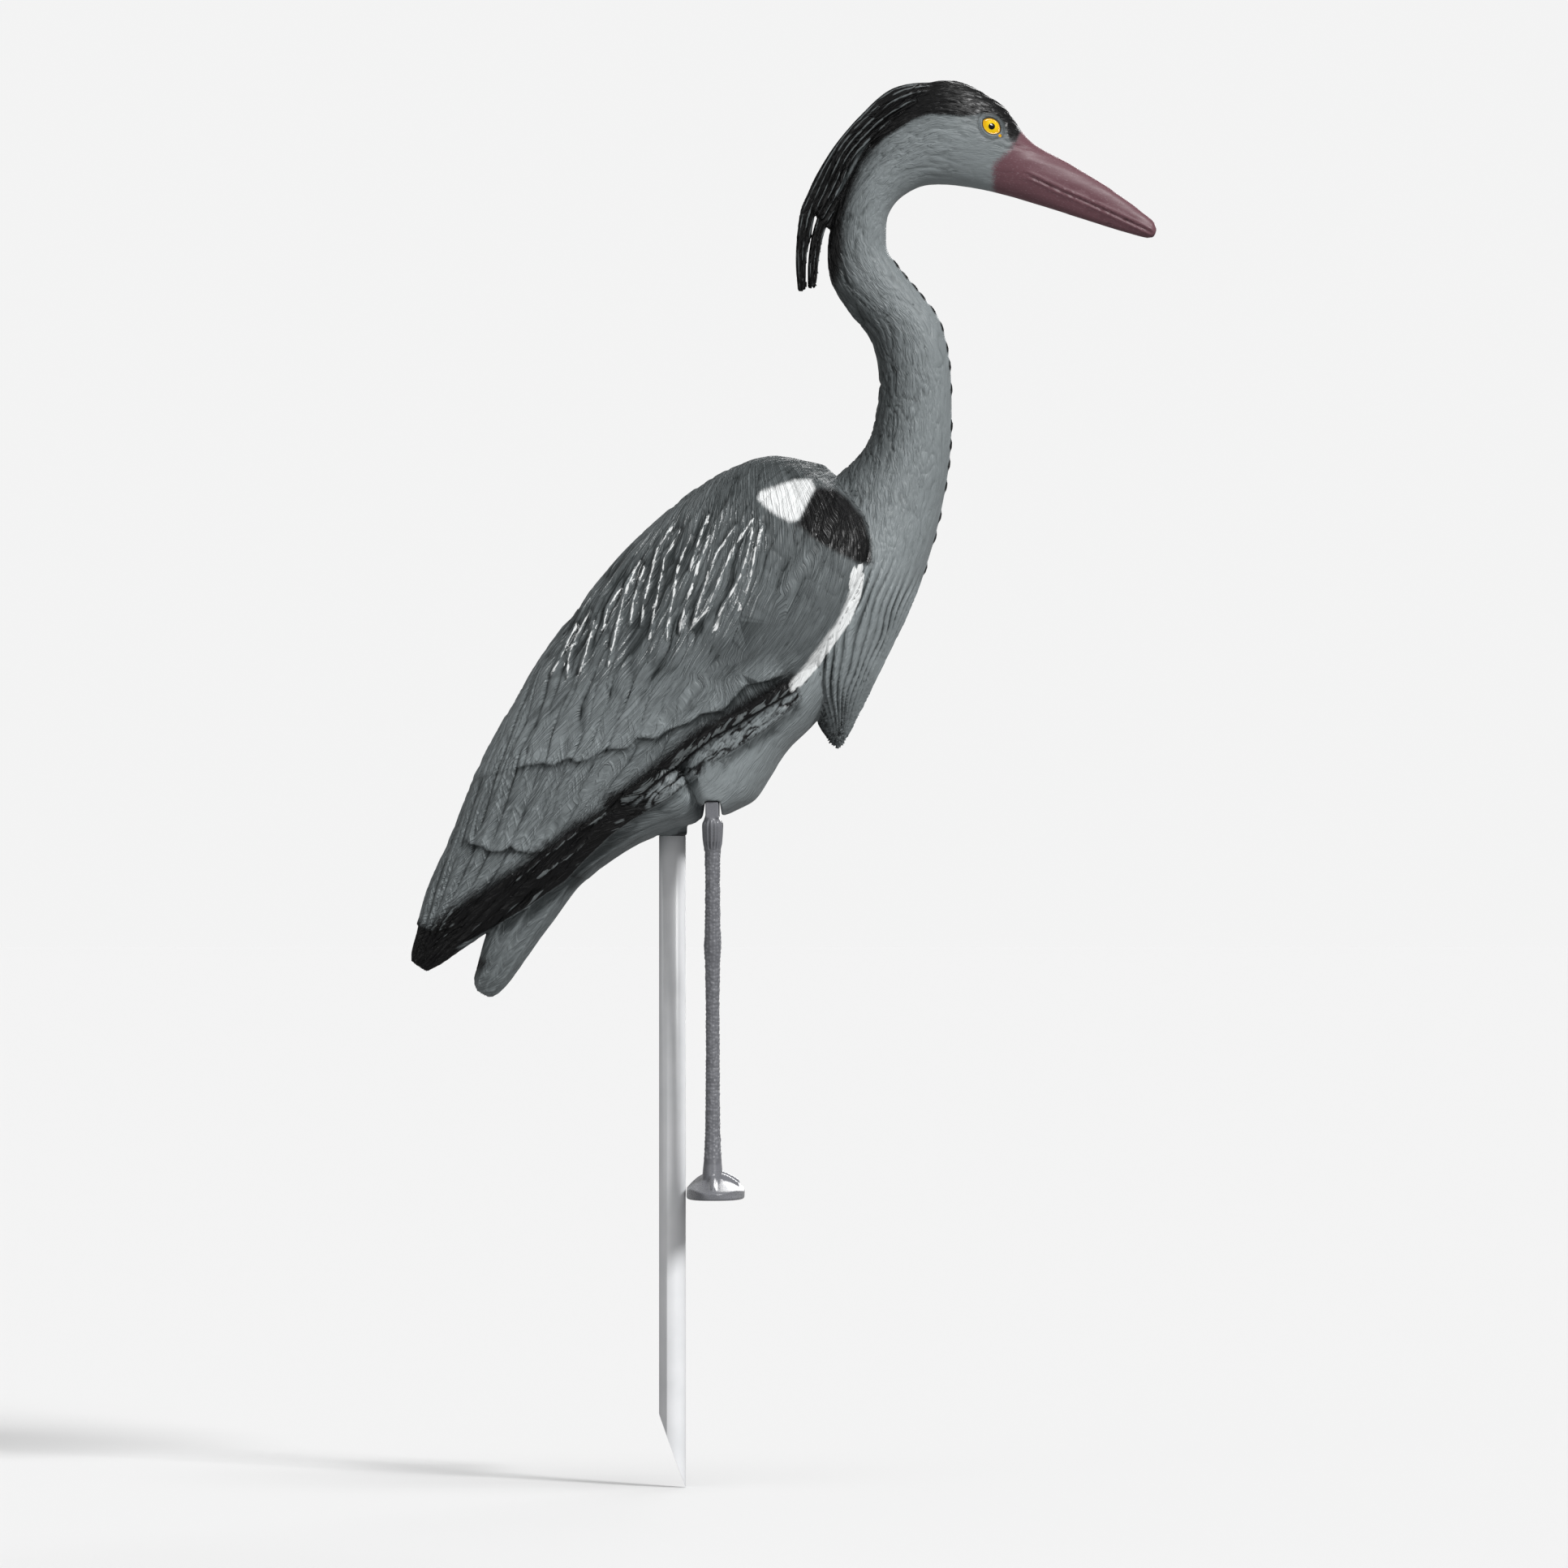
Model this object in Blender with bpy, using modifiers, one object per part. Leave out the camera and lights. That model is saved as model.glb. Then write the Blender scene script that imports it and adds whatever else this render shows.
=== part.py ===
"""A life-size heron decoy standing on its pair of moulded legs, with the tube that stakes it.

Three mouldings: the heron's body, the leg stand that carries it, and the ground stake whose
top sleeves over a peg under the belly. Metres, +Z up. The origin is on the stake's axis at
ground level, where it goes into the soil, and +X is the way the bill points.

The body is laid out in its mould plane, in millimetres, with u forward, w up and the origin
at the root of the peg. It then leans forward as one piece until the peg points straight down.
"""
import math

import bmesh
import bpy
from mathutils import Vector

MM = 0.001

# The body's volumes share their mould plane, which the exact solver doesn't join.
BODY_SOLVER = "MANIFOLD"

# The heron's sides, along Y.
SIDES = {-1: "right", 1: "left"}

# Where the leaned body sits on the stand.
LEAN = math.radians(27.0)
MOULD_X = 1.0
MOULD_Z = 274.0

# The peg and the tube that goes over it, both on the Z axis.
PEG_DIAMETER = 17.4
PEG_LENGTH = 32.5
COLLAR_DIAMETER = 22.0
COLLAR_BOTTOM = 270.5
STAKE_DIAMETER = 20.0
STAKE_WALL = 1.0
STAKE_TOP = 270.1
STAKE_LENGTH = 487.0
STAKE_CUT_LENGTH = 55.0

# The leg stand, whose plane lies in front of the stake.
STAND_X = 30.0
STAND_TOP = 296.0
BAR_LENGTH = 122.0
BAR_THICKNESS = 10.0
BAR_END_HEIGHT = 13.0
BAR_ARM_HEIGHT = 17.0
BAR_WEB_WIDTH = 70.0
BAR_WEB_DROP = 34.0
NOTCH_WIDTH = 23.0
NOTCH_DEPTH = 22.5
BARB_SPREAD = 98.0
BARB_HEIGHT = 27.0
BARB_HEAD_WIDTH = 13.4
BARB_HEAD_HEIGHT = 18.7
BARB_SHAFT_WIDTH = 10.2
BARB_THICKNESS = 8.0
BASE_WIDTH = 172.0
BASE_FRONT = 24.0
BASE_REAR = 19.4
BASE_RIM = 5.5
BASE_RIDGE = 18.0

# The slot across the belly that drops over the bar, and the clearance of parts that meet.
SLOT_LENGTH = 160.0
SLOT_CEILING = 296.4
SLOT_TOP_WIDTH = 11.0
SLOT_MOUTH_WIDTH = 16.0
SLOT_MOUTH = 280.0
CLEARANCE = 0.4

# Cross-sections from edge to edge of the mould plane: rear edge u, w, front edge u, w and the
# half thickness there. The first runs from the bill over the head and neck to the breast.
BILL_TO_BREAST = (
    (117.5, 564.5, 118.5, 558.0, 3.0),
    (113.5, 568.5, 114.5, 555.0, 4.5),
    (70.0, 576.0, 72.0, 547.0, 7.0),
    (36.0, 578.5, 40.0, 542.0, 10.0),
    (7.0, 579.5, 9.0, 536.5, 13.0),
    (-9.0, 585.5, -10.0, 532.0, 16.0),
    (-27.0, 594.0, -29.0, 526.0, 20.0),
    (-49.0, 596.5, -43.0, 520.0, 23.0),
    (-72.0, 592.5, -53.0, 513.5, 23.5),
    (-89.0, 577.0, -60.0, 505.0, 22.5),
    (-99.0, 557.0, -64.5, 496.0, 21.0),
    (-104.5, 532.0, -66.0, 488.0, 19.5),
    (-106.0, 504.0, -65.5, 480.0, 18.5),
    (-103.5, 472.0, -61.5, 470.5, 18.0),
    (-95.0, 441.0, -54.0, 458.5, 18.0),
    (-80.0, 418.0, -38.0, 450.0, 18.0),
    (-59.0, 405.0, -17.0, 441.0, 18.5),
    (-37.0, 395.5, 4.0, 430.0, 19.0),
    (-19.0, 376.0, 23.0, 408.0, 20.0),
    (-7.0, 349.0, 39.5, 380.0, 21.5),
    (-2.0, 320.0, 56.5, 344.0, 24.0),
    (-12.0, 287.0, 69.5, 304.0, 32.0),
    (-17.0, 250.0, 78.0, 264.0, 44.0),
    (-15.0, 213.0, 81.5, 226.0, 55.0),
    (-5.0, 178.0, 82.5, 190.0, 59.0),
    (18.0, 148.0, 82.5, 155.0, 53.0),
    (57.0, 124.0, 82.5, 126.0, 27.0),
    (75.0, 112.0, 82.5, 111.5, 7.0),
)

# The mantle and both folded wings, down to their tips.
BACK_AND_WINGS = (
    (-24.0, 296.0, 4.0, 288.0, 10.0),
    (-58.0, 284.5, 28.0, 271.0, 42.0),
    (-81.5, 264.0, 42.0, 241.0, 60.0),
    (-99.0, 238.0, 45.5, 208.0, 69.0),
    (-116.0, 199.0, 43.5, 166.0, 72.0),
    (-129.0, 160.0, 34.0, 136.0, 72.0),
    (-138.5, 116.0, 19.0, 97.0, 70.0),
    (-146.5, 68.0, 0.0, 59.0, 65.0),
    (-149.5, 19.0, -23.0, 18.0, 57.0),
    (-150.5, -25.0, -40.0, -22.0, 48.0),
    (-146.5, -74.0, -60.0, -74.0, 36.0),
    (-144.0, -119.0, -83.0, -118.0, 24.0),
    (-138.0, -147.0, -100.5, -149.0, 14.0),
    (-133.0, -163.0, -113.0, -168.0, 8.0),
    (-130.5, -176.0, -122.0, -177.5, 4.0),
)

# Each eye bulges a little: its middle in the mould plane, and its size along u, y and w.
EYE_CENTER = (-27.5, 576.0)
EYE_SIDE = 17.5
EYE_SIZE = (15.0, 7.0, 11.0)

# The belly and the thigh feathers, which end as a skirt in front of the bar.
BELLY_TO_SKIRT = (
    (-10.0, 192.0, 55.0, 184.0, 45.0),
    (-25.0, 157.0, 62.0, 152.0, 60.0),
    (-38.0, 126.0, 57.5, 120.0, 65.0),
    (-42.0, 95.0, 48.5, 92.0, 66.5),
    (-38.0, 67.0, 46.0, 67.0, 66.0),
    (-26.0, 48.0, 43.5, 48.0, 65.0),
    (-8.0, 34.0, 34.0, 34.0, 64.0),
    (4.0, 27.0, 28.5, 27.0, 62.0),
)

# The underside behind the bar and the tail that hangs between the wings.
VENT_TO_TAIL = (
    (-39.0, 64.0, 6.0, 50.0, 30.0),
    (-50.0, 41.0, 14.5, 27.0, 60.0),
    (-59.0, 19.0, 13.0, 15.0, 60.0),
    (-67.0, -4.0, -7.0, -6.0, 52.0),
    (-78.0, -34.0, -27.0, -33.0, 43.0),
    (-86.0, -70.0, -43.5, -68.0, 32.0),
    (-91.0, -105.0, -50.5, -105.0, 24.0),
    (-89.0, -134.0, -55.0, -134.0, 19.0),
    (-84.5, -156.0, -58.5, -157.0, 14.0),
    (-81.5, -168.0, -62.5, -169.0, 9.0),
    (-76.5, -173.0, -66.5, -173.5, 5.0),
)

# The crest plumes, fused to the nape and then two free strands.
CREST = (
    (-61.0, 594.0, -54.0, 580.0, 6.0),
    (-86.0, 582.5, -74.0, 566.0, 13.0),
    (-106.0, 566.5, -88.0, 544.0, 16.0),
    (-117.0, 540.0, -97.0, 524.0, 14.0),
    (-124.0, 512.0, -103.0, 503.0, 11.0),
    (-126.5, 484.0, -99.0, 480.0, 9.0),
    (-125.5, 463.0, -100.0, 453.0, 7.0),
)
OUTER_STRAND = (
    (-126.0, 482.0, -115.0, 480.0, 6.0),
    (-125.5, 459.0, -114.5, 457.0, 5.5),
    (-119.5, 439.5, -111.0, 443.0, 4.5),
    (-110.5, 420.0, -105.5, 425.0, 3.8),
    (-99.5, 402.0, -96.0, 406.0, 2.5),
)
INNER_STRAND = (
    (-114.0, 482.0, -104.0, 481.0, 5.0),
    (-112.0, 461.0, -104.0, 460.0, 4.8),
    (-109.5, 445.0, -102.5, 447.0, 4.5),
    (-103.5, 426.5, -97.5, 430.5, 3.8),
    (-94.0, 407.0, -90.0, 411.0, 2.5),
)

# Each leg from its feathered collar down: height, sideways place, half width and half depth.
RIGHT_LEG = (
    (288.0, -50.0, 10.0, 4.6),
    (279.0, -50.0, 13.0, 7.5),
    (268.0, -50.0, 10.0, 7.0),
    (258.0, -49.5, 6.6, 5.6),
    (230.0, -49.5, 6.0, 5.2),
    (200.0, -48.0, 6.2, 5.6),
    (188.0, -47.0, 7.0, 6.4),
    (176.0, -46.3, 5.8, 5.4),
    (141.0, -44.3, 5.2, 4.8),
    (97.0, -43.4, 5.2, 4.8),
    (52.0, -43.1, 5.6, 5.2),
    (32.0, -43.3, 7.0, 6.2),
    (21.0, -43.5, 9.5, 7.5),
    (8.0, -43.5, 11.0, 8.0),
)
LEFT_LEG = (
    (288.0, 48.5, 10.0, 4.6),
    (279.0, 48.4, 12.5, 7.5),
    (268.0, 47.4, 10.0, 7.0),
    (257.0, 46.3, 7.2, 5.8),
    (234.0, 44.5, 6.7, 5.4),
    (202.0, 41.7, 6.6, 5.7),
    (190.0, 40.7, 7.2, 6.5),
    (178.0, 39.9, 6.3, 5.6),
    (145.0, 38.0, 6.0, 5.0),
    (101.0, 37.1, 6.2, 5.2),
    (56.0, 38.0, 6.4, 5.5),
    (34.0, 38.4, 7.4, 6.2),
    (21.0, 38.5, 9.5, 7.5),
    (8.0, 38.5, 11.0, 8.0),
)

# Each foot: its place, and the sideways places where its outer, inner and front toes end.
FEET = {
    "right": (-43.5, -82.0, -9.0, -30.5),
    "left": (38.5, 83.0, 0.0, 51.0),
}
FRONT_TOE_REACH = 20.0
TOE_RADIUS = 4.2
TOE_TIP_RADIUS = 2.2


def clear_scene() -> None:
    """Remove every object of the open scene."""
    for item in list(bpy.data.objects):
        bpy.data.objects.remove(item, do_unlink=True)


def new_collection(name: str) -> bpy.types.Collection:
    """Make a collection in the scene and return it."""
    collection = bpy.data.collections.new(name)
    bpy.context.scene.collection.children.link(collection)
    return collection


def plastic(name: str, color: tuple, roughness: float) -> bpy.types.Material:
    """A plain moulded plastic of the given linear colour."""
    material = bpy.data.materials.new(name)
    material.use_nodes = True
    shader = material.node_tree.nodes["Principled BSDF"]
    shader.inputs["Base Color"].default_value = (*color, 1.0)
    shader.inputs["Roughness"].default_value = roughness
    shader.inputs["Metallic"].default_value = 0.0
    return material


def make_object(name: str, bm: bmesh.types.BMesh, collection, smooth: bool = True):
    """Turn a bmesh into an object whose faces point out."""
    bmesh.ops.recalc_face_normals(bm, faces=bm.faces)
    mesh = bpy.data.meshes.new(name)
    bm.to_mesh(mesh)
    bm.free()
    if smooth:
        mesh.shade_smooth()
        mesh.set_sharp_from_angle(angle=math.radians(35.0))
    item = bpy.data.objects.new(name, mesh)
    collection.objects.link(item)
    return item


def smooth_stations(stations: tuple, step: float) -> list:
    """Blend between hand-set stations with cubic pieces, one about every step millimetres.

    The tangents are central differences over the distance between the stations' middles.
    """
    middles = [((row[0] + row[2]) / 2.0, (row[1] + row[3]) / 2.0) for row in stations]
    knots = [0.0]
    for here, there in zip(middles, middles[1:]):
        knots.append(knots[-1] + math.dist(here, there))
    last = len(stations) - 1
    slopes = []
    for index in range(last + 1):
        low, high = max(index - 1, 0), min(index + 1, last)
        run = knots[high] - knots[low]
        slopes.append([(b - a) / run for a, b in zip(stations[low], stations[high])])
    rows = []
    for index in range(last):
        run = knots[index + 1] - knots[index]
        count = max(1, round(run / step))
        for part in range(count):
            t = part / count
            blend = (2 * t**3 - 3 * t**2 + 1, -2 * t**3 + 3 * t**2)
            lean = ((t**3 - 2 * t**2 + t) * run, (t**3 - t**2) * run)
            rows.append([
                blend[0] * a + blend[1] * b + lean[0] * m + lean[1] * n
                for a, b, m, n in zip(stations[index], stations[index + 1],
                                      slopes[index], slopes[index + 1])
            ])
    rows.append(list(stations[-1]))
    return rows


def section_ring(row: list, style: tuple, steps: int) -> list:
    """Points round one cross-section, from the front edge over +Y to the rear and back over -Y.

    The style is where the widest line lies between the edges (-1 rear, +1 front), and the
    power of the curve towards the front and towards the rear: 2 is an ellipse, more is boxier.
    """
    rear, front, half = Vector((row[0], row[1])), Vector((row[2], row[3])), row[4]
    shift, front_power, rear_power = style
    middle, reach = (rear + front) / 2.0, (front - rear) / 2.0
    side = []
    for index in range(steps + 1):
        angle = math.pi * index / steps
        forward = angle <= math.pi / 2.0
        power = front_power if forward else rear_power
        along = abs(math.cos(angle)) ** (2.0 / power)
        out = half * abs(math.sin(angle)) ** (2.0 / power)
        place = shift + along * (1.0 - shift) if forward else shift - along * (1.0 + shift)
        spot = middle + reach * place
        side.append((spot.x, out, spot.y))
    side[0] = (front.x, 0.0, front.y)
    side[-1] = (rear.x, 0.0, rear.y)
    mirror = [(u, -y, w) for u, y, w in reversed(side[1:-1])]
    return [Vector(point) * MM for point in side + mirror]


def skin_rings(rings: list) -> bmesh.types.BMesh:
    """Join equal rings of points into one closed skin with capped ends."""
    bm = bmesh.new()
    loops = [[bm.verts.new(point) for point in ring] for ring in rings]
    for near, far in zip(loops, loops[1:]):
        for index in range(len(near)):
            after = (index + 1) % len(near)
            bm.faces.new((near[index], near[after], far[after], far[index]))
    bm.faces.new(list(reversed(loops[0])))
    bm.faces.new(loops[-1])
    return bm


def loft(name: str, stations: tuple, style: tuple, step: float, steps: int, parent, collection):
    """One lofted volume of the body, in the mould plane under the leaned empty."""
    rings = [section_ring(row, style, steps) for row in smooth_stations(stations, step)]
    item = make_object(name, skin_rings(rings), collection)
    item.parent = parent
    return item


def guide(item):
    """Mark an object as a construction shape that isn't itself a part."""
    item.hide_render = True
    item.display_type = "WIRE"
    return item


def combine(target, other, operation: str, solver: str = "EXACT") -> None:
    """Join another closed shape to the target, or cut it out."""
    modifier = target.modifiers.new(f"{operation.lower()}_{other.name}", "BOOLEAN")
    modifier.operation = operation
    modifier.object = other
    modifier.solver = solver


def prism(name: str, outline: list, push: Vector, collection):
    """A flat outline of points in millimetres, pushed along a vector into a closed block."""
    bm = bmesh.new()
    face = bm.faces.new([bm.verts.new((point - push / 2.0) * MM) for point in outline])
    grown = bmesh.ops.extrude_face_region(bm, geom=[face])
    moved = [part for part in grown["geom"] if isinstance(part, bmesh.types.BMVert)]
    bmesh.ops.translate(bm, verts=moved, vec=push * MM)
    return make_object(name, bm, collection, smooth=False)


def extruded(name: str, outline: list, thickness: float, collection, bevel: float = 0.0):
    """A flat outline of (y, z) millimetres, thickened evenly to both sides of the plane x = 0."""
    points = [Vector((0.0, y, z)) for y, z in outline]
    item = prism(name, points, Vector((thickness, 0.0, 0.0)), collection)
    if bevel:
        rounding = item.modifiers.new("rounded_edges", "BEVEL")
        rounding.width = bevel * MM
        rounding.segments = 2
        rounding.limit_method = "ANGLE"
        rounding.angle_limit = math.radians(40.0)
    return item


def cylinder(name: str, diameter: float, low: float, high: float, collection, sides: int = 32):
    """An upright cylinder on the Z axis between two heights in millimetres."""
    bm = bmesh.new()
    bmesh.ops.create_cone(bm, cap_ends=True, segments=sides, radius1=diameter / 2 * MM,
                          radius2=diameter / 2 * MM, depth=(high - low) * MM)
    bmesh.ops.translate(bm, verts=bm.verts, vec=(0.0, 0.0, (high + low) / 2 * MM))
    return make_object(name, bm, collection)


def barb_outline(center: float, grow: float) -> list:
    """The arrowhead that snaps up into the body, grown on every side for its cavity."""
    head = BARB_HEAD_WIDTH / 2 + grow
    shaft = BARB_SHAFT_WIDTH / 2 + grow
    tip = STAND_TOP + BARB_HEIGHT + grow
    shoulder = STAND_TOP + BARB_HEIGHT - BARB_HEAD_HEIGHT - grow
    foot = STAND_TOP - 4.0
    right = [(shaft, foot), (shaft, shoulder), (head, shoulder + 1.0), (head * 0.85, shoulder + 6.0),
             (head * 0.58, tip - 5.0), (head * 0.25, tip)]
    left = [(-y, z) for y, z in reversed(right)]
    return [(center + y, z) for y, z in right + left]


def round_peg(collection):
    """The peg under the belly: a collar that the tube butts on, and a shaft with a round end."""
    radius = PEG_DIAMETER / 2
    low = MOULD_Z - PEG_LENGTH
    dome = 5.0
    profile = [(COLLAR_DIAMETER / 2, COLLAR_BOTTOM + 14.0), (COLLAR_DIAMETER / 2, COLLAR_BOTTOM),
               (radius, COLLAR_BOTTOM)]
    profile += [(radius - dome + dome * math.cos(math.radians(angle)),
                 low + dome - dome * math.sin(math.radians(angle)))
                for angle in (0, 22, 45, 68, 90)]
    rings = []
    for reach, height in profile:
        rings.append([Vector((reach * math.cos(turn) * MM, reach * math.sin(turn) * MM, height * MM))
                      for turn in (math.tau * step / 32 for step in range(32))])
    return guide(make_object("belly_peg", skin_rings(rings), collection))


def eye_bulge(side: int, name: str, parent, collection):
    """One eye: a flattened ball that stands out of the side of the head."""
    bm = bmesh.new()
    bmesh.ops.create_uvsphere(bm, u_segments=16, v_segments=8, radius=0.5 * MM)
    bmesh.ops.scale(bm, verts=bm.verts, vec=EYE_SIZE)
    item = make_object(f"{name}_eye", bm, collection)
    item.location = (EYE_CENTER[0] * MM, side * EYE_SIDE * MM, EYE_CENTER[1] * MM)
    item.parent = parent
    return guide(item)


def bar_slot(collection) -> list:
    """The slot across the belly, a little wider at its mouth, and the two barb cavities in it."""
    top, mouth = SLOT_TOP_WIDTH / 2, SLOT_MOUTH_WIDTH / 2
    outline = [(-mouth, SLOT_MOUTH - 12.0), (mouth, SLOT_MOUTH - 12.0), (mouth, SLOT_MOUTH),
               (top, SLOT_CEILING), (-top, SLOT_CEILING), (-mouth, SLOT_MOUTH)]
    points = [Vector((x, 0.0, z)) for x, z in outline]
    cutters = [prism("bar_slot", points, Vector((0.0, SLOT_LENGTH, 0.0)), collection)]
    for side, name in SIDES.items():
        outline = barb_outline(side * BARB_SPREAD / 2, CLEARANCE)
        cutters.append(extruded(f"{name}_barb_cavity", outline,
                                BARB_THICKNESS + 2 * CLEARANCE, collection))
    for cutter in cutters:
        cutter.location.x = STAND_X * MM
    return [guide(cutter) for cutter in cutters]


def build_body(parts, guides) -> None:
    """The heron itself: its blended volumes, crest strands, eyes and peg, leaned forward."""
    lean = bpy.data.objects.new("mould_axis", None)
    lean.location = (MOULD_X * MM, 0.0, MOULD_Z * MM)
    lean.rotation_euler = (0.0, LEAN, 0.0)
    parts.objects.link(lean)
    body = loft("heron_body", BILL_TO_BREAST, (0.0, 2.0, 2.0), 16.0, 10, lean, parts)
    volumes = (
        ("back_and_wings", BACK_AND_WINGS, (0.3, 4.5, 2.2), 26.0, 14),
        ("belly_to_skirt", BELLY_TO_SKIRT, (0.0, 2.8, 2.8), 24.0, 12),
        ("vent_to_tail", VENT_TO_TAIL, (0.0, 2.4, 2.4), 24.0, 10),
        ("crest", CREST, (-0.1, 2.0, 2.0), 24.0, 6),
        ("outer_strand", OUTER_STRAND, (0.0, 2.0, 2.0), 20.0, 4),
        ("inner_strand", INNER_STRAND, (0.0, 2.0, 2.0), 20.0, 4),
    )
    for name, stations, style, step, steps in volumes:
        volume = guide(loft(name, stations, style, step, steps, lean, guides))
        combine(body, volume, "UNION", BODY_SOLVER)
    for side, name in SIDES.items():
        combine(body, eye_bulge(side, name, lean, guides), "UNION", BODY_SOLVER)
    combine(body, round_peg(guides), "UNION", BODY_SOLVER)
    for cutter in bar_slot(guides):
        combine(body, cutter, "DIFFERENCE", BODY_SOLVER)
    body.data.materials.append(plastic("slate_grey_plastic", (0.16, 0.18, 0.185), 0.45))


def bar_outline() -> list:
    """The bar across the top of the legs: square ends, a round notch and a lower edge that sags."""
    half, notch = BAR_LENGTH / 2, NOTCH_WIDTH / 2
    top = STAND_TOP
    outline = [(-half, top - BAR_END_HEIGHT), (-half, top), (-notch, top)]
    center = top - NOTCH_DEPTH + notch
    for step in range(9):
        angle = math.pi * (1.0 + step / 8.0)
        outline.append((notch * math.cos(angle), center + notch * math.sin(angle)))
    outline += [(notch, top), (half, top), (half, top - BAR_END_HEIGHT)]
    web = BAR_WEB_WIDTH / 2
    for step in range(9):
        y = web * (1.0 - step / 4.0)
        sag = math.cos(math.pi / 2 * y / web)
        drop = BAR_ARM_HEIGHT + (BAR_WEB_DROP - BAR_ARM_HEIGHT) * sag
        outline.append((y, top - drop))
    return outline


def leg(name: str, stations: tuple, collection):
    """One leg as a loft of ellipses."""
    rings = []
    for height, sideways, wide, deep in stations:
        rings.append([
            Vector((deep * math.cos(turn), sideways + wide * math.sin(turn), height)) * MM
            for turn in (math.tau * step / 14 for step in range(14))
        ])
    return guide(make_object(name, skin_rings(rings), collection))


def base_height(x: float, y: float) -> float:
    """Height in millimetres of the base's mound above its underside."""
    reach = BASE_FRONT if x > 0 else BASE_REAR
    across = min(abs(x) / reach, 1.0)
    along = min(abs(y) / (BASE_WIDTH / 2), 1.0)
    dome = (1.0 - across**2) * (1.0 - along**2.5)
    return BASE_RIM + (BASE_RIDGE - BASE_RIM) * dome


def build_base(collection):
    """The base: an oval plate with a vertical rim and a mound rising to a ridge."""
    around, rings = 48, 5
    bm = bmesh.new()
    loops = []
    for level in range(rings):
        share = 1.0 - level / rings
        loop = []
        for step in range(around):
            turn = math.tau * step / around
            wide = math.copysign(abs(math.sin(turn)) ** 0.72, math.sin(turn))
            deep = math.copysign(abs(math.cos(turn)) ** 0.72, math.cos(turn))
            x = share * deep * (BASE_FRONT if deep > 0 else BASE_REAR)
            y = share * wide * BASE_WIDTH / 2
            loop.append(bm.verts.new(Vector((x, y, base_height(x, y))) * MM))
        loops.append(loop)
    floor = [bm.verts.new(Vector((vert.co.x, vert.co.y, 0.0))) for vert in loops[0]]
    peak = bm.verts.new((0.0, 0.0, BASE_RIDGE * MM))
    for near, far in zip([floor] + loops, loops):
        for index in range(around):
            after = (index + 1) % around
            bm.faces.new((near[index], near[after], far[after], far[index]))
    for index in range(around):
        bm.faces.new((loops[-1][index], loops[-1][(index + 1) % around], peak))
    bm.faces.new(list(reversed(floor)))
    return make_object("leg_stand", bm, collection)


def toe(name: str, start: Vector, end: Vector, collection):
    """One toe: a tapering finger that follows the mound between two places on it."""
    count = 6
    direction = (end - start).normalized()
    across = Vector((-direction.y, direction.x, 0.0))
    rings = []
    for step in range(count + 1):
        t = step / count
        spot = start.lerp(end, t)
        radius = TOE_RADIUS + (TOE_TIP_RADIUS - TOE_RADIUS) * t
        middle = Vector((spot.x, spot.y, base_height(spot.x, spot.y) + 0.4))
        rings.append([
            (middle + across * radius * math.cos(turn)
             + Vector((0.0, 0.0, 1.0)) * radius * math.sin(turn)) * MM
            for turn in (math.tau * side / 8 for side in range(8))
        ])
    return guide(make_object(name, skin_rings(rings), collection))


def build_stand(parts, guides) -> None:
    """The leg stand: base, two legs, the bar and its two barbs, moulded in one."""
    stand = build_base(parts)
    pieces = [guide(extruded("top_bar", bar_outline(), BAR_THICKNESS, guides, bevel=1.0))]
    pieces += [leg("right_leg", RIGHT_LEG, guides), leg("left_leg", LEFT_LEG, guides)]
    for side, name in SIDES.items():
        outline = barb_outline(side * BARB_SPREAD / 2, 0.0)
        pieces.append(guide(extruded(f"{name}_barb", outline, BARB_THICKNESS, guides, bevel=0.8)))
    for name, (foot, outer, inner, front) in FEET.items():
        ball = Vector((0.0, foot, 0.0))
        pieces.append(toe(f"{name}_outer_toe", ball, Vector((1.0, outer, 0.0)), guides))
        pieces.append(toe(f"{name}_inner_toe", ball, Vector((1.0, inner, 0.0)), guides))
        tip = Vector((FRONT_TOE_REACH, front, 0.0))
        pieces.append(toe(f"{name}_front_toe", ball, tip, guides))
    stand.location.x = STAND_X * MM
    for piece in pieces:
        piece.location.x = STAND_X * MM
        combine(stand, piece, "UNION")
    stand.data.materials.append(plastic("dark_grey_plastic", (0.19, 0.19, 0.195), 0.35))


def build_stake(parts, guides) -> None:
    """The ground stake: a plain tube cut off at a long slant at its lower end."""
    bottom = STAKE_TOP - STAKE_LENGTH
    stake = cylinder("ground_stake", STAKE_DIAMETER, bottom, STAKE_TOP, parts, sides=40)
    bore = guide(cylinder("stake_bore", STAKE_DIAMETER - 2 * STAKE_WALL, bottom - 5.0,
                          STAKE_TOP + 5.0, guides, sides=40))
    edge, past = STAKE_DIAMETER / 2, 1.5 * STAKE_DIAMETER
    slope = STAKE_CUT_LENGTH / STAKE_DIAMETER
    outline = [(-past, bottom + slope * (past + edge)), (-past, bottom - past),
               (past, bottom - past), (past, bottom - edge), (edge, bottom)]
    points = [Vector((x, 0.0, z)) for x, z in outline]
    slant = guide(prism("slant_cut", points, Vector((0.0, 2 * past, 0.0)), guides))
    combine(stake, bore, "DIFFERENCE")
    combine(stake, slant, "DIFFERENCE")
    stake.data.materials.append(plastic("white_tube_plastic", (0.85, 0.85, 0.85), 0.3))


def main() -> None:
    """Build the whole decoy."""
    clear_scene()
    parts = new_collection("heron_decoy")
    guides = new_collection("construction_shapes")
    build_body(parts, guides)
    build_stand(parts, guides)
    build_stake(parts, guides)


main()
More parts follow.
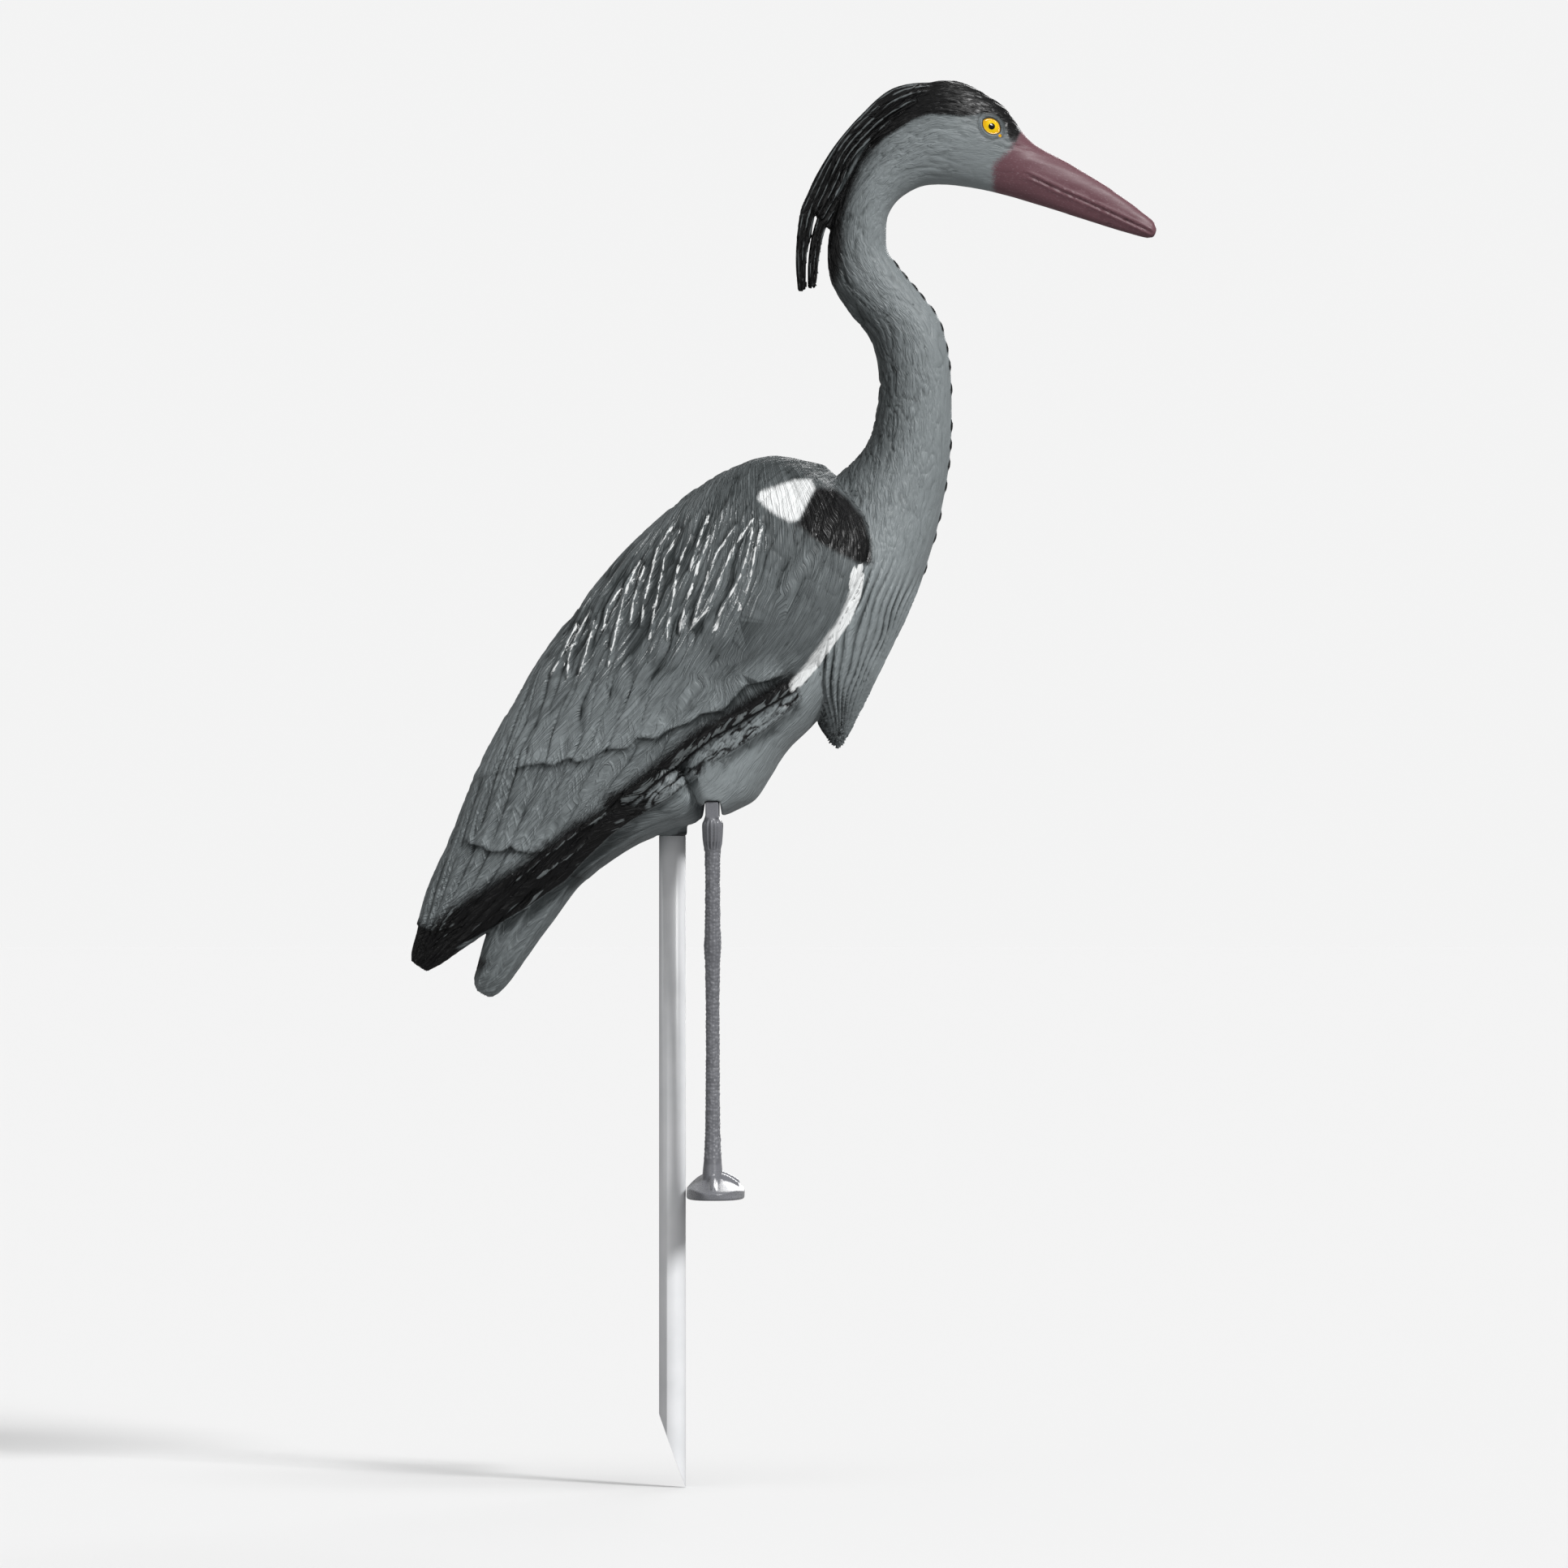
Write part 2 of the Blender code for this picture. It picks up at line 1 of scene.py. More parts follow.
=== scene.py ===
"""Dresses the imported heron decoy: its carved and painted body, its moulded legs and its stake.

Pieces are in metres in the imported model's frame. The body is laid out in its mould plane, in
millimetres, with u forward, w up and the origin at the root of the peg, and then leaned.
"""
import logging
import math
from dataclasses import dataclass, field
from enum import Enum

import bmesh
import bpy
import numpy as np
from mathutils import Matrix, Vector


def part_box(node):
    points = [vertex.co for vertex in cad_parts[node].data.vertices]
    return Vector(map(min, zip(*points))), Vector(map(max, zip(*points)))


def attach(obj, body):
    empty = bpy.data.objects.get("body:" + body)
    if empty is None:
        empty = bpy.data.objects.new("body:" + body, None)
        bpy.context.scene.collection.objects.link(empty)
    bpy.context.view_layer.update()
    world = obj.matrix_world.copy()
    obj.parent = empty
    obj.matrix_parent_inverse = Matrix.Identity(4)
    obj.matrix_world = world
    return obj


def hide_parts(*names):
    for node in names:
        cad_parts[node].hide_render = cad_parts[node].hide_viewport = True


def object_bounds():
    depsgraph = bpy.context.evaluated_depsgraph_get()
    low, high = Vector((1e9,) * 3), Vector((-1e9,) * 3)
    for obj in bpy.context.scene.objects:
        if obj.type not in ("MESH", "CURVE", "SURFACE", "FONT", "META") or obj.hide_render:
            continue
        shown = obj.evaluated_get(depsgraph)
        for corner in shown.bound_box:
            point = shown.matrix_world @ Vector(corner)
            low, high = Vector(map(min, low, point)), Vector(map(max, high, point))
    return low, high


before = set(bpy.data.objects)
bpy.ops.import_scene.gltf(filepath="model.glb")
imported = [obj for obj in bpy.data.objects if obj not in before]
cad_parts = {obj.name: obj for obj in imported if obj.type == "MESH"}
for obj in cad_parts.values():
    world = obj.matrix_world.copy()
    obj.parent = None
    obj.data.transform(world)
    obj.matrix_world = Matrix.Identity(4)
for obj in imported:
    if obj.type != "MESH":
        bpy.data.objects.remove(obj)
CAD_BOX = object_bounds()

LOG = logging.getLogger("heron_decoy")
MM = 0.001

# Where the body's mould plane lies: the peg's root, and the lean that turns the peg upright.
LEAN = math.radians(27.0)
MOULD_X = 1.0
MOULD_Z = 274.0

# Where the stand's plane and its barbs lie, and the height at which the peg leaves the belly.
STAND_X = 30.0
BARB_Y = 49.0
PEG_ROOT = 292.0

# How many long feathers lie side by side on half a wing pair and on half the tail.
WING_FEATHERS = 11.0
TAIL_FEATHERS = 5.0

# Paint fields run from -PAINT_LIMIT, bare, to PAINT_LIMIT, covered.
PAINT_LIMIT = 3.0

# Cross-sections of the body: rear edge u, w, front edge u, w and the half thickness there.
BILL_TO_BREAST = (
    (117.5, 564.5, 118.5, 558.0, 3.0), (113.5, 568.5, 114.5, 555.0, 4.5),
    (70.0, 576.0, 72.0, 547.0, 7.0), (36.0, 578.5, 40.0, 542.0, 10.0),
    (7.0, 579.5, 9.0, 536.5, 13.0), (-9.0, 585.5, -10.0, 532.0, 16.0),
    (-27.0, 594.0, -29.0, 526.0, 20.0), (-49.0, 596.5, -43.0, 520.0, 23.0),
    (-72.0, 592.5, -53.0, 513.5, 23.5), (-89.0, 577.0, -60.0, 505.0, 22.5),
    (-99.0, 557.0, -64.5, 496.0, 21.0), (-104.5, 532.0, -66.0, 488.0, 19.5),
    (-106.0, 504.0, -65.5, 480.0, 18.5), (-103.5, 472.0, -61.5, 470.5, 18.0),
    (-95.0, 441.0, -54.0, 458.5, 18.0), (-80.0, 418.0, -38.0, 450.0, 18.0),
    (-59.0, 405.0, -17.0, 441.0, 18.5), (-37.0, 395.5, 4.0, 430.0, 19.0),
    (-19.0, 376.0, 23.0, 408.0, 20.0), (-7.0, 349.0, 39.5, 380.0, 21.5),
    (-2.0, 320.0, 56.5, 344.0, 24.0), (-12.0, 287.0, 69.5, 304.0, 32.0),
    (-17.0, 250.0, 78.0, 264.0, 44.0), (-15.0, 213.0, 81.5, 226.0, 55.0),
    (-5.0, 178.0, 82.5, 190.0, 59.0), (18.0, 148.0, 82.5, 155.0, 53.0),
    (57.0, 124.0, 82.5, 126.0, 27.0), (75.0, 112.0, 82.5, 111.5, 7.0),
)
BACK_AND_WINGS = (
    (-24.0, 293.6, 4.0, 286.0, 10.0), (-58.0, 284.0, 28.0, 271.0, 42.0),
    (-81.5, 264.0, 42.0, 241.0, 60.0), (-99.0, 238.0, 45.5, 208.0, 69.0),
    (-116.0, 199.0, 43.5, 166.0, 72.0), (-129.0, 160.0, 34.0, 136.0, 72.0),
    (-138.5, 116.0, 19.0, 97.0, 70.0), (-146.5, 68.0, 0.0, 59.0, 65.0),
    (-149.5, 19.0, -23.0, 18.0, 57.0), (-150.5, -25.0, -40.0, -22.0, 48.0),
    (-146.5, -74.0, -60.0, -74.0, 36.0), (-144.0, -119.0, -83.0, -118.0, 24.0),
    (-138.0, -147.0, -100.5, -149.0, 15.0), (-134.5, -163.0, -110.5, -168.0, 11.0),
    (-132.0, -175.0, -117.0, -177.5, 8.0),
)
BELLY_TO_SKIRT = (
    (-10.0, 192.0, 55.0, 184.0, 45.0), (-25.0, 157.0, 62.0, 152.0, 60.0),
    (-38.0, 126.0, 57.5, 120.0, 65.0), (-42.0, 95.0, 48.5, 92.0, 66.5),
    (-38.0, 67.0, 46.0, 67.0, 66.0), (-26.0, 48.0, 43.5, 48.0, 65.0),
    (-8.0, 34.0, 34.0, 34.0, 64.0), (4.0, 27.0, 28.5, 27.0, 62.0),
)
VENT_TO_TAIL = (
    (-39.0, 64.0, 6.0, 50.0, 30.0), (-50.0, 41.0, 14.5, 27.0, 60.0),
    (-59.0, 19.0, 13.0, 15.0, 60.0), (-67.0, -4.0, -7.0, -6.0, 52.0),
    (-78.0, -34.0, -27.0, -33.0, 43.0), (-86.0, -70.0, -43.5, -68.0, 32.0),
    (-91.0, -105.0, -50.5, -105.0, 24.0), (-89.0, -134.0, -55.0, -134.0, 19.0),
    (-84.5, -156.0, -58.5, -157.0, 14.0), (-81.5, -168.0, -62.5, -169.0, 9.0),
    (-76.5, -173.0, -66.5, -173.5, 5.0),
)
CREST = (
    (-61.0, 594.0, -54.0, 580.0, 6.0), (-86.0, 582.5, -74.0, 566.0, 13.0),
    (-106.0, 566.5, -88.0, 544.0, 16.0), (-117.0, 540.0, -97.0, 524.0, 14.0),
    (-124.0, 512.0, -103.0, 503.0, 11.0), (-126.5, 484.0, -99.0, 480.0, 9.0),
    (-125.5, 463.0, -100.0, 453.0, 7.0),
)
OUTER_STRAND = (
    (-126.0, 482.0, -115.0, 480.0, 6.0), (-125.5, 459.0, -114.5, 457.0, 5.5),
    (-119.5, 439.5, -111.0, 443.0, 4.5), (-110.5, 420.0, -105.5, 425.0, 3.8),
    (-99.5, 402.0, -96.0, 406.0, 2.5),
)
INNER_STRAND = (
    (-114.0, 482.0, -104.0, 481.0, 5.0), (-112.0, 461.0, -104.0, 460.0, 4.8),
    (-109.5, 445.0, -102.5, 447.0, 4.5), (-103.5, 426.5, -97.5, 430.5, 3.8),
    (-94.0, 407.0, -90.0, 411.0, 2.5),
)

# Lines of the carving in the mould plane.
COVERT_EDGE = (
    (22.2, 142.2), (10.7, 130.2), (-1.3, 121.3), (-4.4, 110.7), (-7.6, 96.4), (-21.3, 86.7),
    (-25.3, 78.7), (-37.3, 64.9), (-43.1, 55.1), (-55.1, 50.2), (-59.1, 39.1), (-72.9, 31.1),
    (-80.9, 19.1), (-86.7, 13.3), (-93.3, 13.8), (-102.7, 2.7), (-108.9, 1.3), (-120.0, -6.2),
    (-129.3, -14.7),
)
TERTIAL_EDGE = (
    (-76.0, -54.2), (-85.3, -61.8), (-97.8, -66.2), (-102.7, -64.4), (-107.1, -71.6),
    (-116.9, -76.0), (-120.4, -74.2), (-130.7, -77.3), (-136.9, -74.2),
)
WING_TIP_EDGE = ((-106.0, -136.0), (-118.7, -143.1), (-126.2, -148.9), (-165.0, -150.0))
PRIMARY_RIDGE = (
    (32.4, 134.2), (21.3, 116.9), (8.0, 95.6), (-6.2, 74.7), (-23.1, 37.8), (-37.3, 5.8),
    (-44.9, -3.1),
)
WING_EDGE = (
    (40.8, 130.2), (27.6, 99.1), (5.3, 61.3), (-14.7, 19.1), (-30.5, -4.8), (-40.0, -22.4),
    (-49.6, -49.6), (-55.0, -68.7), (-72.7, -101.3), (-89.0, -127.1), (-110.7, -158.4),
)
QUILLS = (
    ((-48.0, -8.0), (-60.9, -29.8), (-71.6, -50.2), (-80.0, -68.9), (-87.1, -85.8)),
    ((-41.3, -8.0), (-51.1, -30.7), (-60.9, -53.3), (-68.0, -65.3), (-73.3, -76.4)),
)
TAIL_EDGE = ((-58.0, -67.0), (-47.6, -63.6), (-38.0, -59.5))
SKIRT_EDGE = ((20.0, 47.1), (13.5, 40.5), (6.7, 36.0), (-3.6, 31.6))
MOUTH_LINE = ((4.0, 555.6), (41.3, 556.9), (76.9, 559.1), (114.2, 560.4))
LORAL_LINE = ((-19.0, 572.6), (-13.3, 571.1), (-4.9, 572.0), (3.0, 573.4))
LID_TAIL = ((-35.5, 574.9), (-40.0, 573.6), (-46.0, 573.8), (-54.0, 571.0))
NECK_DASHES = (
    (-43.1, 453.3), (-35.6, 445.8), (-25.3, 440.9), (-17.3, 436.9), (-6.7, 431.1), (4.4, 423.6),
    (14.7, 411.6), (22.7, 402.2), (31.1, 385.8), (46.7, 363.6), (52.4, 350.2), (57.8, 336.9),
    (63.6, 321.3), (70.2, 299.1), (74.7, 283.6), (78.2, 259.1),
)

# Outlines and lines of the paint in the mould plane.
CROWN_BLACK = (
    (-6.8, 588.0), (-16.0, 598.0), (-29.3, 603.0), (-42.7, 604.0), (-58.0, 602.0),
    (-74.0, 596.0), (-92.0, 585.0), (-105.0, 574.0), (-114.0, 563.0), (-121.0, 552.0),
    (-131.0, 539.1), (-140.0, 516.9), (-140.0, 450.2), (-120.0, 396.9), (-87.6, 396.9),
    (-83.1, 414.7), (-103.1, 459.1), (-107.6, 494.7), (-104.4, 521.3), (-98.7, 518.7),
    (-94.2, 532.0), (-88.0, 542.2), (-81.3, 553.8), (-72.9, 562.2), (-62.7, 567.1),
    (-51.1, 571.6), (-43.5, 576.5), (-38.0, 581.0), (-30.0, 584.6), (-24.0, 584.4),
    (-18.5, 581.5), (-15.0, 577.0), (-11.0, 573.5), (-6.0, 574.0),
)
PLUME_GAP = (
    (-97.1, 553.0), (-102.9, 535.8), (-105.8, 518.4), (-106.4, 495.0), (-107.3, 478.0),
)
NAPE_BLACK = (
    (-100.9, 528.0), (-98.2, 518.7), (-100.4, 505.3), (-98.7, 492.0), (-97.3, 478.7),
    (-93.8, 463.6), (-88.0, 450.2), (-83.1, 440.4), (-78.7, 428.4), (-77.8, 414.0),
    (-88.0, 414.0), (-98.0, 432.4), (-106.0, 450.2), (-109.8, 468.0), (-111.6, 494.7),
    (-109.8, 516.9),
)
BILL_MAUVE = (
    (-6.2, 583.6), (-6.7, 565.8), (-12.9, 551.6), (-9.3, 543.6), (-1.8, 530.0),
    (139.1, 530.0), (139.1, 592.0), (1.3, 592.0),
)
SHOULDER_WHITE = (
    (-56.9, 253.3), (-37.3, 274.2), (-27.1, 279.1), (-22.2, 274.2), (-22.2, 248.4),
    (-27.1, 244.0), (-43.1, 244.4), (-55.1, 248.4),
)
SHOULDER_BLACK = (
    (-22.0, 275.3), (-8.6, 281.1), (4.4, 279.0), (20.4, 272.3), (34.2, 257.6), (42.0, 243.6),
    (32.4, 239.4), (16.4, 239.4), (-3.6, 240.3), (-21.0, 244.3),
)
EDGE_WHITE = (
    (39.1, 232.6), (44.0, 217.8), (45.3, 197.8), (42.2, 178.2), (39.1, 158.2), (34.2, 138.3),
)
WING_BAND_BLACK = (
    (-38.7, 3.6), (-51.1, -6.7), (-65.3, -27.6), (-83.1, -65.3), (-100.9, -96.4),
    (-118.7, -127.6), (-128.9, -149.8), (-145.0, -152.0), (-145.0, -190.0), (-100.0, -190.0),
    (-56.4, -100.9), (-34.0, -56.4), (-20.0, -12.0), (-24.0, 3.0),
)
VANE_BLACK = (
    (35.1, 136.9), (21.3, 121.3), (5.8, 99.1), (-9.8, 76.9), (-25.3, 39.1), (-43.1, 3.6),
    (-28.0, -2.2), (-14.7, 19.1), (5.3, 61.3), (27.6, 99.1), (40.8, 130.2),
)
BRUSHED = (
    (-60.0, 236.0), (-38.0, 234.0), (-26.0, 176.0), (-44.0, 134.0), (-80.0, 106.0),
    (-104.0, 78.0), (-134.0, 56.0), (-142.0, 100.0), (-122.0, 170.0), (-92.0, 222.0),
)
STREAKS = (
    ((-52.0, 231.6), (-55.1, 209.8), (-54.2, 181.8), (-52.0, 158.2), (-56.0, 140.4)),
    ((-61.8, 221.8), (-64.9, 197.8), (-63.1, 181.8), (-60.0, 162.2), (-56.0, 142.2)),
    ((-48.9, 225.8), (-43.1, 205.8), (-41.3, 188.0), (-42.2, 166.2), (-40.0, 146.2)),
    ((-43.1, 231.6), (-39.1, 209.8), (-34.2, 193.8), (-31.2, 176.0), (-31.1, 163.6)),
    ((-82.7, 219.6), (-81.8, 204.0), (-76.9, 180.0)),
    ((-87.6, 200.0), (-85.8, 174.2), (-78.7, 154.2), (-72.9, 134.2), (-68.9, 126.2)),
    ((-103.6, 204.0), (-105.8, 181.8), (-101.8, 166.2), (-96.9, 142.2), (-90.7, 126.2)),
    ((-96.9, 200.0), (-97.8, 178.2), (-90.7, 154.2), (-84.9, 134.2), (-80.0, 120.4)),
    ((-74.7, 205.8), (-72.0, 178.2), (-68.0, 154.2), (-63.1, 134.2)),
    ((-113.3, 166.2), (-113.3, 146.2), (-108.4, 126.2), (-102.7, 102.7), (-98.7, 88.9)),
    ((-108.4, 164.0), (-104.4, 142.2), (-98.7, 122.7)),
    ((-116.4, 142.2), (-118.7, 126.2), (-114.7, 110.7)),
    ((-122.7, 110.7), (-118.7, 92.9), (-115.6, 74.7)),
    ((-129.3, 116.4), (-130.2, 94.7), (-127.6, 78.7), (-122.7, 67.1)),
    ((-134.2, 102.7), (-133.3, 82.7), (-133.3, 63.1)),
)

RIGHT_LEG = (
    (288.0, -50.0, 10.0, 4.6), (279.0, -50.0, 13.0, 7.5), (268.0, -50.0, 10.0, 7.0),
    (258.0, -49.5, 6.6, 5.6), (230.0, -49.5, 6.0, 5.2), (200.0, -48.0, 6.2, 5.6),
    (188.0, -47.0, 7.0, 6.4), (176.0, -46.3, 5.8, 5.4), (141.0, -44.3, 5.2, 4.8),
    (97.0, -43.4, 5.2, 4.8), (52.0, -43.1, 5.6, 5.2), (32.0, -43.3, 7.0, 6.2),
    (21.0, -43.5, 9.5, 7.5), (8.0, -43.5, 11.0, 8.0),
)
LEFT_LEG = (
    (288.0, 48.5, 10.0, 4.6), (279.0, 48.4, 12.5, 7.5), (268.0, 47.4, 10.0, 7.0),
    (257.0, 46.3, 7.2, 5.8), (234.0, 44.5, 6.7, 5.4), (202.0, 41.7, 6.6, 5.7),
    (190.0, 40.7, 7.2, 6.5), (178.0, 39.9, 6.3, 5.6), (145.0, 38.0, 6.0, 5.0),
    (101.0, 37.1, 6.2, 5.2), (56.0, 38.0, 6.4, 5.5), (34.0, 38.4, 7.4, 6.2),
    (21.0, 38.5, 9.5, 7.5), (8.0, 38.5, 11.0, 8.0),
)
# Each foot: its place, and where its outer, inner and front toes end sideways.
FEET = ((-43.5, -82.0, -9.0, -30.5), (38.5, 83.0, 0.0, 51.0))


def vector_field(*parts: np.ndarray) -> np.ndarray:
    """Stack equal arrays as the columns of one array."""
    return np.stack(parts, axis=-1)


def smoothstep(low: float, high: float, value: np.ndarray) -> np.ndarray:
    """Ease from 0 at low to 1 at high; low may be the larger of the two."""
    share = np.clip((value - low) / (high - low), 0.0, 1.0)
    return share * share * (3.0 - 2.0 * share)


def hump(distance: np.ndarray, width: float) -> np.ndarray:
    """A smooth rise, 1 where the distance is 0 and about a third at the width."""
    return np.exp(-((distance / width) ** 2))


def between(first: np.ndarray, second: np.ndarray, share: np.ndarray) -> np.ndarray:
    """The value that lies a share of the way from the first to the second."""
    return first * (1 - share) + second * share


def full_turn(steps: int) -> np.ndarray:
    """Even angles all the way round, the first at 0."""
    return np.arange(steps) * math.tau / steps


def mould_to_world(spots: np.ndarray) -> np.ndarray:
    """Lean points (u, y, w) of the mould plane, in millimetres, into the model's metres."""
    u, y, w = spots.T
    x = MOULD_X + u * math.cos(LEAN) + w * math.sin(LEAN)
    z = MOULD_Z - u * math.sin(LEAN) + w * math.cos(LEAN)
    return vector_field(x, y, z) * MM


def world_to_mould(spots: np.ndarray) -> np.ndarray:
    """Turn points in the model's metres back into (u, y, w) millimetres."""
    x, y, z = spots.T / MM
    x, z = x - MOULD_X, z - MOULD_Z
    u = x * math.cos(LEAN) - z * math.sin(LEAN)
    w = x * math.sin(LEAN) + z * math.cos(LEAN)
    return vector_field(u, y, w)


class Grain:
    """Smooth random values on a lattice, the same on every run."""

    CELLS = 256

    def __init__(self, seed: int) -> None:
        """Fill the lattice.

        Args:
            seed: Which lattice.
        """
        self.values = np.random.default_rng(seed).random((self.CELLS, self.CELLS))

    def at(self, x: np.ndarray, y: np.ndarray) -> np.ndarray:
        """Read the lattice between its points.

        Args:
            x: Places along its rows, in cells.
            y: Places along its columns, in cells.

        Returns:
            Values from 0 to 1.
        """
        row, column = np.floor(x).astype(int), np.floor(y).astype(int)
        across, down = smoothstep(0.0, 1.0, x - row), smoothstep(0.0, 1.0, y - column)
        row, column = row % self.CELLS, column % self.CELLS
        after, below = (row + 1) % self.CELLS, (column + 1) % self.CELLS
        near = between(self.values[row, column], self.values[after, column], across)
        far = between(self.values[row, below], self.values[after, below], across)
        return between(near, far, down)

    def slopes(self, x: np.ndarray, y: np.ndarray, steep: float) -> np.ndarray:
        """How far the values lie from their middle, stretched by a number."""
        return np.abs(2.0 * self.at(x, y) - 1.0) * steep

    def ridges(self, x: np.ndarray, y: np.ndarray) -> np.ndarray:
        """Narrow wandering crests, from -1 in the hollows to 1 on the crests.

        Args:
            x: Places along the lattice's rows, in cells.
            y: Places along its columns, in cells.

        Returns:
            Values from -1 to 1.
        """
        first = 1.0 - self.slopes(x, y, 2.2)
        second = 1.0 - self.slopes(x * 1.9 + 37.0, y * 1.9 + 11.0, 2.2)
        return np.clip(0.7 * first + 0.3 * second, -1.0, 1.0)

    def strokes(self, x: np.ndarray, y: np.ndarray) -> np.ndarray:
        """Broad rounded crests between narrow wandering cuts.

        Args:
            x: Places along the lattice's rows, in cells.
            y: Places along its columns, in cells.

        Returns:
            Values from -1 in the cuts to 1 on the crests.
        """
        first = np.minimum(self.slopes(x, y, 3.4), 1.0)
        second = np.minimum(self.slopes(x * 1.7 + 31.0, y * 1.7 + 17.0, 3.4), 1.0)
        return 1.2 * first + 0.8 * second - 1.0


@dataclass
class Trail:
    """How points lie to a drawn line.

    Attributes:
        reach: Distance from the line.
        side: Distance with a sign, positive on the left as the line runs.
        along: Length of the line up to the nearest place on it.
        length: The whole line's length.
    """

    reach: np.ndarray
    side: np.ndarray
    along: np.ndarray
    length: float

    def ends(self, first: float, last: float) -> np.ndarray:
        """1 along the line, easing to 0 within these lengths of its two ends."""
        return smoothstep(0.0, first, self.along) * smoothstep(0.0, last, self.length - self.along)


def follow(line: tuple, u: np.ndarray, w: np.ndarray) -> Trail:
    """Measure points of the mould plane against an open line.

    Args:
        line: Its points.
        u: The points' forward places.
        w: The points' heights.

    Returns:
        Their distances and places along the line.
    """
    reach = np.full(u.shape, 1e9)
    side = np.zeros(u.shape)
    along = np.zeros(u.shape)
    walked = 0.0
    for (u0, w0), (u1, w1) in zip(line, line[1:]):
        run = math.hypot(u1 - u0, w1 - w0)
        du, dw = (u1 - u0) / run, (w1 - w0) / run
        place = np.clip((u - u0) * du + (w - w0) * dw, 0.0, run)
        gap_u, gap_w = u - u0 - place * du, w - w0 - place * dw
        gap = np.hypot(gap_u, gap_w)
        nearer = gap < reach
        reach = np.where(nearer, gap, reach)
        sign = np.where((u - u0) * dw - (w - w0) * du >= 0.0, -1.0, 1.0)
        side = np.where(nearer, gap * sign, side)
        along = np.where(nearer, walked + place, along)
        walked += run
    return Trail(reach, side, along, walked)


def inside(outline: tuple, u: np.ndarray, w: np.ndarray) -> np.ndarray:
    """Distance of points from a closed outline, positive inside it.

    Args:
        outline: Its corners.
        u: The points' forward places.
        w: The points' heights.

    Returns:
        Distances in millimetres.
    """
    closed = (*outline, outline[0])
    crossings = np.zeros(u.shape, dtype=bool)
    for (u0, w0), (u1, w1) in zip(closed, closed[1:]):
        if w0 == w1:
            continue
        between = (w0 <= w) != (w1 <= w)
        crossings ^= between & (u < u0 + (w - w0) * (u1 - u0) / (w1 - w0))
    return np.where(crossings, 1.0, -1.0) * follow(closed, u, w).reach


@dataclass
class Flow:
    """Where points lie on a loft.

    Attributes:
        along: Distance down the loft's middle line.
        share: Place round its girth, 0 at the front edge and 1 at the rear.
        arc: The same from the front edge in millimetres.
        gap: Rough distance from its skin.
    """

    along: np.ndarray
    share: np.ndarray
    arc: np.ndarray
    gap: np.ndarray

    def half_vane(self, feathers: float) -> np.ndarray:
        """Half the width of a feather, where so many lie side by side."""
        return self.arc / np.maximum(self.share, 0.02) / (2.0 * feathers)


